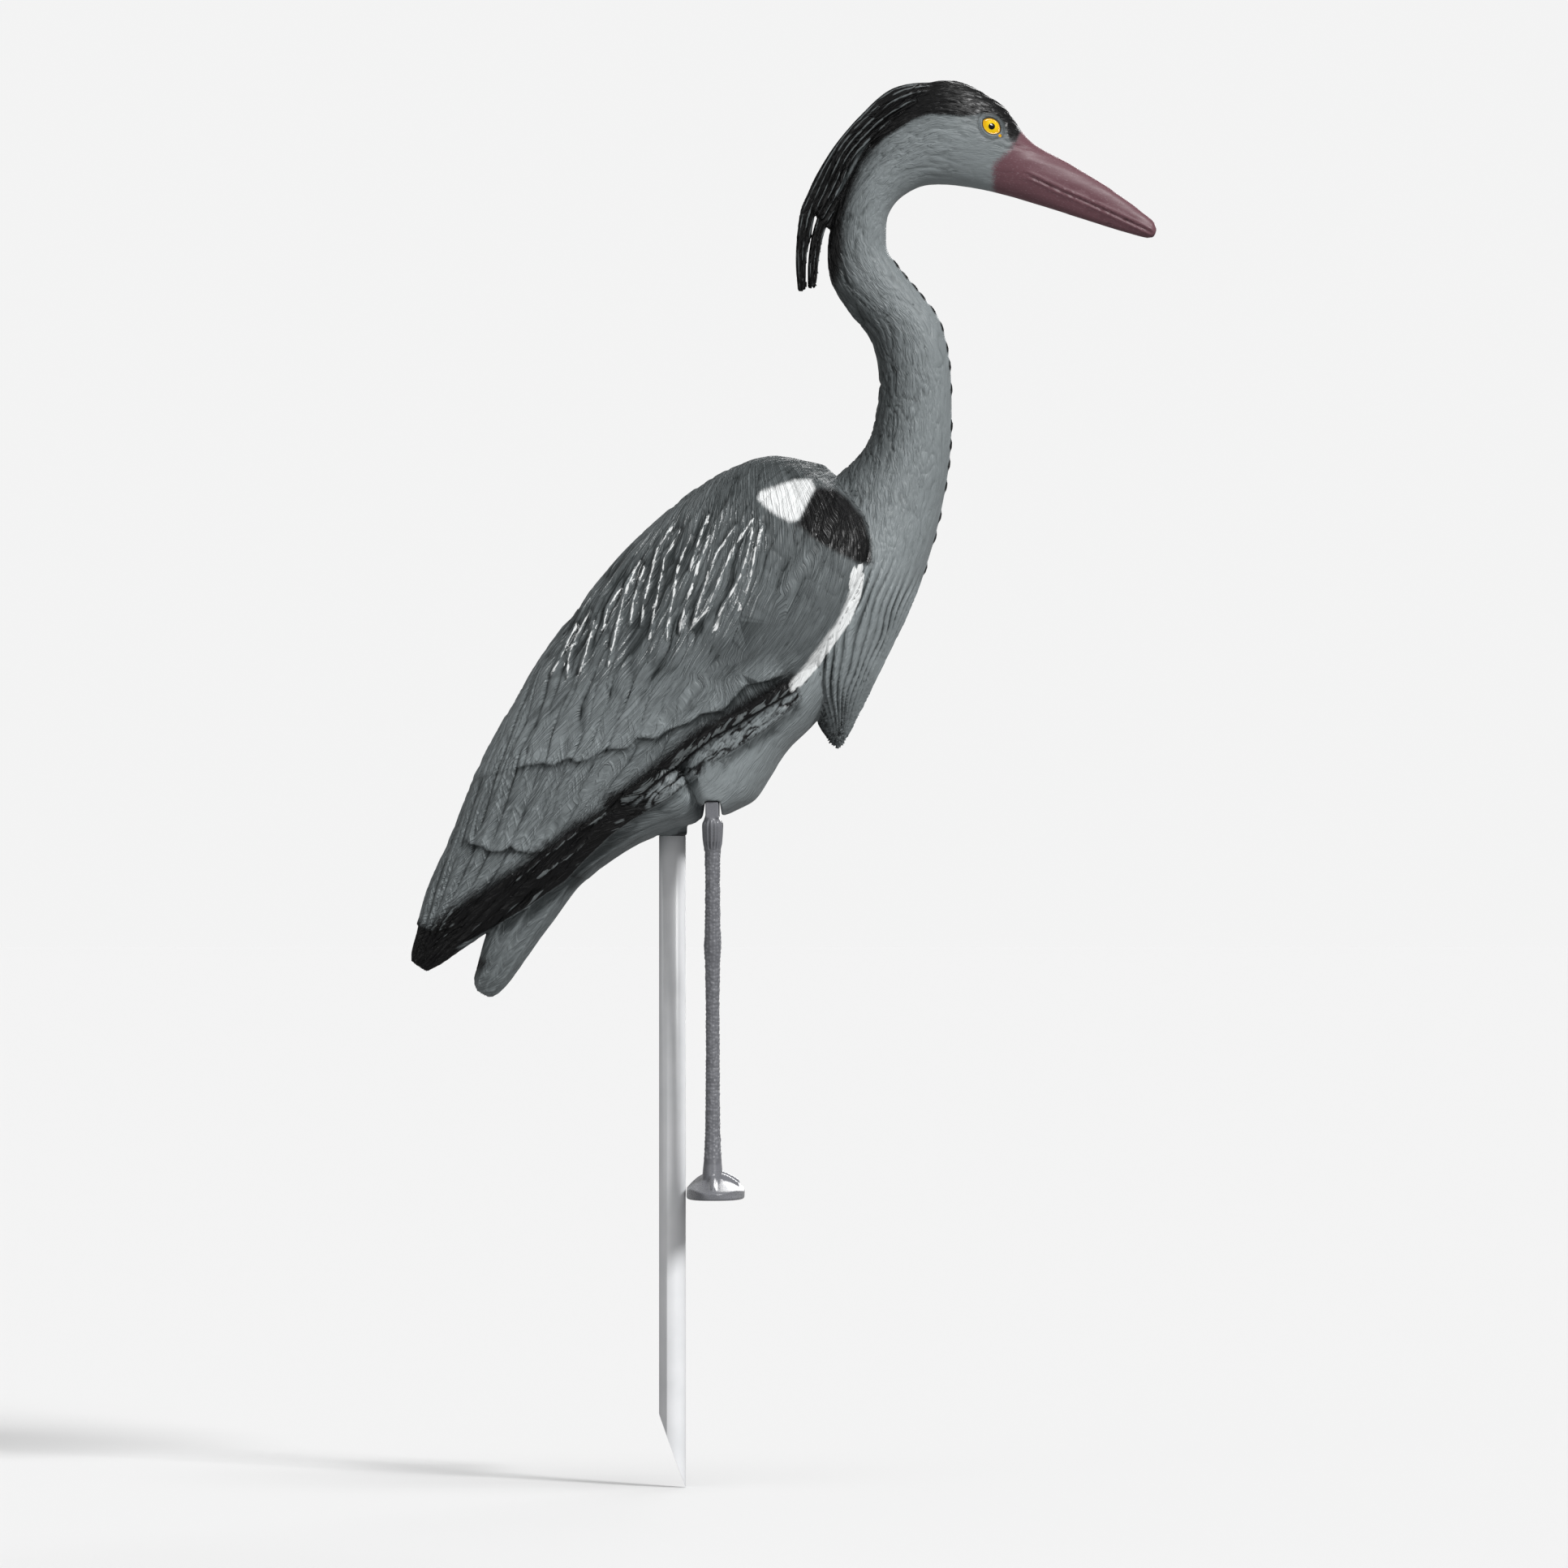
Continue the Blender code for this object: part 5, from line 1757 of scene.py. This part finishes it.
class BeadNodes:
    """Geometry nodes that set a rounded bead on every vertex of a mesh of places."""

    def __init__(self) -> None:
        """Build the node group, with its named inputs."""
        self.tree = bpy.data.node_groups.new("beads_on_places", "GeometryNodeTree")
        face = self.tree.interface
        self.inputs = {
            name: face.new_socket(name, in_out="INPUT", socket_type=f"NodeSocket{kind}")
            for name, kind in (("Places", "Geometry"), ("Bead Size", "Float"),
                               ("Size Spread", "Float"), ("Seed", "Int"),
                               ("Material", "Material"))}
        face.new_socket("Beads", in_out="OUTPUT", socket_type="NodeSocketGeometry")
        source = self.tree.nodes.new("NodeGroupInput")
        target = self.tree.nodes.new("NodeGroupOutput")
        given = {socket.name: Wire(self.tree, socket) for socket in source.outputs
                 if socket.name}
        bead = add_node(self.tree, "GeometryNodeMeshIcoSphere", {},
                        {"Radius": 1.0, "Subdivisions": 2})
        facing, form = (
            add_node(self.tree, "GeometryNodeInputNamedAttribute",
                     {"data_type": "FLOAT_VECTOR"}, {"Name": name}, "Attribute")
            for name in ("facing", "form"))
        turned = add_node(self.tree, "FunctionNodeAlignRotationToVector", {"axis": "Z"},
                          {"Vector": facing})
        chance = add_node(self.tree, "FunctionNodeRandomValue", {"data_type": "FLOAT"}, {
            2: 1.0 - given["Size Spread"], 3: given["Size Spread"] + 1.0,
            "Seed": given["Seed"]}, 1)
        scale = add_node(self.tree, "ShaderNodeVectorMath", {"operation": "SCALE"},
                         {"Vector": form, "Scale": chance * given["Bead Size"]})
        placed = add_node(self.tree, "GeometryNodeInstanceOnPoints", {}, {
            "Points": given["Places"], "Instance": bead, "Rotation": turned, "Scale": scale})
        real = add_node(self.tree, "GeometryNodeRealizeInstances", {}, {"Geometry": placed})
        coated = add_node(self.tree, "GeometryNodeSetMaterial", {}, {
            "Geometry": real, "Material": given["Material"]})
        self.tree.links.new(coated.socket, target.inputs[0])

    def grow(self, name: str, places: np.ndarray, facing: np.ndarray, form: np.ndarray,
             spread: float, seed: int, coat: bpy.types.Material) -> bpy.types.Object:
        """Set beads and turn them into a plain mesh.

        Args:
            name: The new object's name.
            places: The beads' middles in millimetres.
            facing: The direction of each bead's short axis.
            form: Each bead's half sizes in millimetres.
            spread: How far the sizes differ, as a share.
            seed: Which random sizes.
            coat: Their material.

        Returns:
            The mesh of all the beads.
        """
        mesh = bpy.data.meshes.new(name)
        mesh.from_pydata((places * MM).tolist(), [], [])
        write_field(mesh, "facing", facing)
        write_field(mesh, "form", form)
        item = linked(name, mesh)
        modifier = item.modifiers.new("beads", "NODES")
        modifier.node_group = self.tree
        for socket, value in (("Bead Size", MM), ("Size Spread", spread), ("Seed", seed),
                              ("Material", coat)):
            modifier[self.inputs[socket].identifier] = value
        return settle(item)


@dataclass
class LegStand:
    """The leg stand: base, toes, two scaled legs, the bar and its barbs, moulded in one.

    Attributes:
        plane: How far in front of the stake it stands.
        top: Height of the bar's upper edge.
        bar_length: The bar's length.
        bar_thickness: The bar's thickness.
        base_width: Side to side.
        base_front: From the stand's plane to the base's front.
        base_rear: And to its rear.
        rim: Height of the base's edge.
        ridge: Height of the base's ridge.
        toe_reach: How far forward the front toes come.
        toe_radius: Radius of a toe at the foot.
        tip_radius: And at its tip.
        voxel: Size of its skin's faces.
        triangles: The most that its mesh may have.
        finish: Its material.
    """

    plane: float = STAND_X
    top: float = 296.0
    bar_length: float = 122.0
    bar_thickness: float = 10.0
    base_width: float = 172.0
    base_front: float = 24.0
    base_rear: float = 19.4
    rim: float = 5.5
    ridge: float = 18.0
    toe_reach: float = 20.0
    toe_radius: float = 4.2
    tip_radius: float = 2.2
    voxel: float = 0.6
    triangles: int = 190000
    finish: LegPlastic = field(default_factory=LegPlastic)

    def build(self) -> bpy.types.Object:
        """Make the stand with its scales, ribs and rings.

        Returns:
            The finished piece.
        """
        coat = self.finish.material()
        shapes = [self.base(), self.bar()]
        shapes += [self.barb(side) for side in (-1, 1)]
        for name, stations in (("right_leg", RIGHT_LEG), ("left_leg", LEFT_LEG)):
            shapes.append(self.leg(name, stations))
        shapes += [self.toe(*ends) for ends in self.toes()]
        beads = BeadNodes()
        for seed, stations in enumerate((RIGHT_LEG, LEFT_LEG)):
            shapes.append(beads.grow("leg_scales", *self.scales(stations, seed), 0.22, seed + 3,
                                     coat))
        shapes.append(beads.grow("toe_rings", *self.rings(), 0.03, 9, coat))
        stand = self.joined(shapes)
        remeshed(stand, self.voxel)
        self.carve(stand.data)
        thinned(stand, self.triangles)
        self.store(stand.data)
        dress(stand, coat)
        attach(stand, "root")
        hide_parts("leg_stand")
        return stand

    def joined(self, shapes: list) -> bpy.types.Object:
        """Put all the shapes into one mesh, whose overlaps the new skin will close."""
        bm = bmesh.new()
        for shape in shapes:
            bm.from_mesh(shape.data)
        mesh = bpy.data.meshes.new("scaled_leg_stand")
        bm.to_mesh(mesh)
        bm.free()
        discard(*shapes)
        return linked("scaled_leg_stand", mesh)

    def ground(self, x: np.ndarray, y: np.ndarray) -> np.ndarray:
        """Height of the base's mound, from its place about the stand's plane."""
        reach = np.where(x > 0.0, self.base_front, self.base_rear)
        across = np.minimum(np.abs(x) / reach, 1.0)
        along = np.minimum(np.abs(y) / (self.base_width / 2.0), 1.0)
        return self.rim + (self.ridge - self.rim) * (1.0 - across**2) * (1.0 - along**2.5)

    def base(self) -> bpy.types.Object:
        """The oval base with its vertical rim and its mound."""
        turns = full_turn(160)
        wide, deep = (np.sign(wave) * np.abs(wave) ** 0.72
                      for wave in (np.sin(turns), np.cos(turns)))
        rows = []
        for share in (0.99, 1.0, *np.linspace(1.0, 0.0, 30)[:-1]):
            x = share * deep * np.where(deep > 0.0, self.base_front, self.base_rear)
            y = share * wide * self.base_width / 2.0
            rows.append(vector_field(x + self.plane, y, self.ground(x, y)))
        points = np.stack(rows)
        points[0, :, 2], points[1, :, 2] = 0.0, 0.8
        points[2, :, 2] -= 0.5
        return skin_grid("stand_base", points * MM)

    def bar(self) -> bpy.types.Object:
        """The bar across the tops of the legs, with its notch and its sagging lower edge."""
        half, notch, web = self.bar_length / 2.0, 11.5, 35.0
        outline = [(-half, self.top - 13.0), (-half, self.top), (-notch, self.top)]
        middle = self.top - 22.5 + notch
        for step in range(17):
            angle = math.pi * (1.0 + step / 16.0)
            outline.append((notch * math.cos(angle), middle + notch * math.sin(angle)))
        outline += [(notch, self.top), (half, self.top), (half, self.top - 13.0)]
        for step in range(25):
            y = web * (1.0 - step / 12.0)
            outline.append((y, self.top - 17.0 - 17.0 * math.cos(math.pi / 2.0 * y / web)))
        points = [(self.plane, y, z) for y, z in outline]
        bar = prism("top_bar", points, (self.bar_thickness, 0.0, 0.0))
        edges = bar.modifiers.new("rounded_edges", "BEVEL")
        edges.width, edges.segments, edges.limit_method = 1.2 * MM, 3, "ANGLE"
        edges.angle_limit = math.radians(40.0)
        return settle(bar)

    def barb(self, side: int) -> bpy.types.Object:
        """One barb, a flattened arrowhead on a round shaft."""
        outline = [(y, z) for y, z in barb_outline(0.0) if y > 0.0]
        steps = 32
        turns = full_turn(steps)
        rings = [vector_field(self.plane + min(y, 4.0) * np.cos(turns),
                              BARB_Y * side + y * np.sin(turns), np.full(steps, z))
                 for y, z in [(5.1, 286.0), *outline, (0.3, 323.0)]]
        return skin_grid("barb", np.stack(rings) * MM)

    @staticmethod
    def leg_rows(stations: tuple, heights: np.ndarray) -> tuple:
        """Sideways place, half width and half depth of a leg at given heights."""
        table = np.array(stations)[::-1]
        return tuple(np.interp(heights, table[:, 0], table[:, column]) for column in (1, 2, 3))

    def leg(self, name: str, stations: tuple) -> bpy.types.Object:
        """One leg as a smooth loft of ellipses."""
        heights = np.arange(8.0, 288.5, 2.0)
        place, wide, deep = self.leg_rows(stations, heights)
        for column in (place, wide, deep):
            column[1:-1] = (column[:-2] + 2.0 * column[1:-1] + column[2:]) / 4.0
        turns = full_turn(48)
        shrink = 0.35
        points = vector_field(
            self.plane + (deep - shrink)[:, None] * np.cos(turns)[None],
            place[:, None] + (wide - shrink)[:, None] * np.sin(turns)[None],
            np.repeat(heights[:, None], len(turns), axis=1))
        return skin_grid(name, points * MM)

    def scales(self, stations: tuple, seed: int) -> tuple:
        """Where the small raised scales of a leg lie: mostly in columns down its front.

        Args:
            stations: The leg's sections.
            seed: Which random places.

        Returns:
            Their places, directions and half sizes.
        """
        rng = np.random.default_rng(seed + 51)
        places, facing, forms = [], [], []
        columns = 12
        for column in range(columns):
            turn = math.tau * (column + 0.5) / columns
            height = 30.0 + rng.random() * 2.0
            while height < 262.0:
                front = abs(math.cos(turn))
                size = (0.85 + 0.5 * front) * (0.8 + 0.4 * rng.random())
                sway = turn + rng.normal(0.0, 0.07)
                y, wide, deep = (float(value) for value in self.leg_rows(
                    stations, np.array([height])[0]))
                normal = np.array([math.cos(sway) / deep, math.sin(sway) / wide, 0.0])
                normal /= np.linalg.norm(normal)
                places.append((self.plane + (deep - 0.55) * math.cos(sway),
                               y + (wide - 0.55) * math.sin(sway), height))
                facing.append(normal)
                forms.append((size, size * 1.15, 0.75))
                height += size * 1.9 + rng.random() * 0.9
        return np.array(places), np.array(facing), np.array(forms)

    def toes(self) -> list:
        """The start and end of every toe on the base's mound."""
        ends = []
        for foot, outer, inner, front in FEET:
            ends += [((0.0, foot), (1.0, outer)), ((0.0, foot), (1.0, inner)),
                     ((0.0, foot), (self.toe_reach, front))]
        return ends

    def toe_path(self, start: tuple, end: tuple, shares: np.ndarray) -> np.ndarray:
        """Points along a toe's middle, on the mound."""
        x = start[0] + (end[0] - start[0]) * shares
        y = start[1] + (end[1] - start[1]) * shares
        return vector_field(x + self.plane, y, self.ground(x, y) + 0.4)

    def toe_radii(self, shares: np.ndarray) -> np.ndarray:
        """How thick a toe is on its way from the foot to its tip."""
        return self.toe_radius + (self.tip_radius - self.toe_radius) * shares

    def toe(self, start: tuple, end: tuple) -> bpy.types.Object:
        """One toe, a tapering finger with a nail at its tip."""
        shares = np.linspace(0.0, 1.0, 24)
        path = self.toe_path(start, end, shares)
        radius = self.toe_radii(shares) - 0.35
        radius[-1] *= 0.5
        run = np.array([end[0] - start[0], end[1] - start[1]])
        run = run / np.linalg.norm(run)
        turns = full_turn(20)
        across = np.array([-run[1], run[0], 0.0])
        points = (path[:, None, :] + radius[:, None, None] * (
            across[None, None, :] * np.cos(turns)[None, :, None]
            + np.array([0.0, 0.0, 1.0])[None, None, :] * np.sin(turns)[None, :, None]))
        return skin_grid("toe", points * MM)

    def rings(self) -> tuple:
        """The rings round every toe: their places, directions and half sizes."""
        places, facing, forms = [], [], []
        for start, end in self.toes():
            run = math.dist(start, end)
            shares = np.arange(6.0, run - 1.0, 2.5) / run
            path = self.toe_path(start, end, shares)
            step = self.toe_path(start, end, shares + 0.01) - path
            step /= np.linalg.norm(step, axis=1)[:, None]
            radius = self.toe_radii(shares)
            places.append(path)
            facing.append(step)
            forms.append(vector_field(radius, radius, np.full(len(radius), 1.0)))
        return np.concatenate(places), np.concatenate(facing), np.concatenate(forms)

    def round_leg(self, stations: tuple, points: np.ndarray) -> tuple:
        """Where points lie about a leg.

        Args:
            stations: The leg's sections.
            points: Points in metres.

        Returns:
            Their angles round it, and their distances from its middle, 1 on its skin.
        """
        x, y, z = points.T / MM
        place, wide, deep = self.leg_rows(stations, z)
        sideways, forward = (y - place) / wide, (x - self.plane) / deep
        return np.arctan2(sideways, forward), np.hypot(sideways, forward)

    def carve(self, mesh: bpy.types.Mesh) -> None:
        """Soften the skin and press the collars' ribs and the base's waves into it."""
        _, _, z = read_points(mesh).T / MM
        smooth = smoothstep(20.0, 14.0, z) * smoothstep(0.0, 1.5, z)
        soften(mesh, 2, 0.3 + 0.4 * smooth)
        points = read_points(mesh)
        x, y, z = points.T / MM
        height = np.zeros(len(points))
        for stations in (RIGHT_LEG, LEFT_LEG):
            turn, out = self.round_leg(stations, points)
            near = smoothstep(1.5, 1.15, out)
            collar = near * smoothstep(258.0, 264.0, z) * smoothstep(283.0, 279.0, z)
            height += 0.7 * collar * np.cos(turn * 15.0)
        low = smoothstep(30.0, 22.0, z) * smoothstep(1.5, 4.0, z)
        height += low * 0.35 * (np.sin(y / 9.0 + np.sin(x / 6.0)) + np.sin(y / 23.0 + 1.0))
        carved = points + read_normals(mesh) * (height * MM)[:, None]
        write_points(mesh, keep_in_box(carved, "leg_stand"))

    def store(self, mesh: bpy.types.Mesh) -> None:
        """Write how hollow and how smooth each place is, for the material, which paints shade into
        the hollows between the leg's scales.
        """
        points = read_points(mesh)
        _, _, z = points.T / MM
        bumpy = smoothstep(22.0, 30.0, z) * smoothstep(270.0, 262.0, z)
        edge = np.full(len(points), 0.75)
        for stations in (RIGHT_LEG, LEFT_LEG):
            _, out = self.round_leg(stations, points)
            edge = np.where((out < 1.3) & (bumpy > 0.5),
                            0.3 + 0.7 * smoothstep(0.9, 1.05, out), edge)
        write_field(mesh, "tone", vector_field(edge, 1.0 - bumpy, edge * 0.0))


@dataclass
class GroundStake:
    """The white tube, cut at a slant at its foot.

    Attributes:
        diameter: Outside diameter.
        wall: Thickness of its wall.
        top: Height of its upper end.
        length: Its length.
        cut: Length of the slant.
        finish: Its material.
    """

    diameter: float = 20.0
    wall: float = 1.0
    top: float = 270.1
    length: float = 487.0
    cut: float = 55.0
    finish: TubePlastic = field(default_factory=TubePlastic)

    def build(self) -> bpy.types.Object:
        """Make the tube with its ends' edges a little rounded.

        Returns:
            The finished piece.
        """
        outer, inner, ease = self.diameter / 2, self.diameter / 2 - self.wall, 0.25
        bottom = self.top - self.length
        steps = 96
        turns = full_turn(steps)
        rows = []
        for radius, drop in ((outer, ease), (outer - ease, 0.0), (inner + ease, 0.0),
                             (inner, ease)):
            rows.append((radius, np.full(steps, self.top - drop)))
        slope = self.cut / self.diameter
        for radius, drop in ((inner, ease), (inner + ease, 0.0), (outer - ease, 0.0),
                             (outer, ease)):
            foot = bottom + slope * (outer - radius * np.cos(turns)) + drop
            rows.append((radius, foot))
        points = np.stack([vector_field(radius * np.cos(turns), radius * np.sin(turns), height)
                           for radius, height in rows]) * MM
        stake = new_object("white_ground_stake", points.reshape(-1, 3),
                           ring_faces(len(rows), steps, closed=True))
        dress(stake, self.finish.material())
        stake.data.set_sharp_from_angle(angle=math.radians(50.0))
        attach(stake, "root")
        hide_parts("ground_stake")
        return stake


@dataclass
class Studio:
    """The pale floor, the soft lights and the camera.

    Attributes:
        tall: Height of the view at the object.
        distance: From the camera to the object.
        target: What the camera looks at.
    """

    tall: float = 1.172
    distance: float = 9.0
    target: tuple = (0.0834, 0.0, 0.3088)

    def build(self) -> None:
        """Set the stage."""
        low, _ = CAD_BOX
        half = 30.0
        corners = ((-half, -half), (half, -half), (half, half), (-half, half))
        floor = new_object("studio_floor", np.array([(x, y, low[2]) for x, y in corners]),
                           [(0, 1, 2, 3)])
        pot = Painter("studio_floor")
        seen = pot.node("ShaderNodeLightPath", {}, {}, "Is Camera Ray")
        pot.feed("Base Color", pot.mix(seen, shade(120, 120, 120), shade(223, 223, 223)))
        pot.feed("Roughness", 0.9)
        pot.feed("Specular IOR Level", 0.0)
        pot.feed("Emission Color", (1.0, 1.0, 1.0, 1.0))
        pot.feed("Emission Strength", 0.1)
        floor.data.materials.append(pot.material)
        self.sun("key_sun", (0.85, -1.0, 0.85), 2.35, 12.0)
        self.sun("top_sun", (0.25, -0.2, 1.0), 0.8, 30.0)
        self.sun("fill_sun", (-0.7, -1.0, 0.1), 0.45, 40.0)
        self.sun("back_sun", (0.3, 1.0, 0.35), 1.2, 30.0)
        self.sky()
        bpy.context.scene.view_settings.view_transform = "Standard"
        self.camera()

    @staticmethod
    def sun(name: str, place: tuple, power: float, width: float) -> None:
        """Add an even soft light that comes from one direction.

        Args:
            name: Its name.
            place: The direction that it comes from.
            power: Its strength.
            width: How wide it looks, in degrees: more is softer.
        """
        data = bpy.data.lights.new(name, "SUN")
        data.energy, data.angle = power, math.radians(width)
        item = linked(name, data)
        item.rotation_euler = Vector(place).to_track_quat("Z", "Y").to_euler()

    @staticmethod
    def sky() -> None:
        """Show white behind the object, and light it with less than that."""
        world = bpy.data.worlds.new("studio_sky")
        world.use_nodes = True
        tree = world.node_tree
        camera_ray = add_node(tree, "ShaderNodeLightPath", {}, {}, "Is Camera Ray")
        tree.links.new((camera_ray * 0.6 + 0.3).socket, tree.nodes["Background"].inputs["Strength"])
        tree.nodes["Background"].inputs["Color"].default_value = (1.0, 1.0, 1.0, 1.0)
        bpy.context.scene.world = world

    def camera(self) -> None:
        """Look at the object level from its side through a long lens."""
        data = bpy.data.cameras.new("side_camera")
        data.sensor_width = 36.0
        data.lens = data.sensor_width * self.distance / self.tall
        data.clip_end = 200.0
        item = linked("side_camera", data)
        item.location = (self.target[0], self.target[1] - self.distance, self.target[2])
        item.rotation_euler = (math.pi / 2.0, 0.0, 0.0)
        bpy.context.scene.camera = item


def main() -> None:
    """Build every sub-assembly in order."""
    logging.basicConfig(level=logging.INFO, format="%(message)s")
    for piece in (HeronBody(), LegStand(), GroundStake()):
        item = piece.build()
        item.data.calc_loop_triangles()
        LOG.info("%s: %d triangles", item.name, len(item.data.loop_triangles))
    Studio().build()


if __name__ == "__main__":
    main()
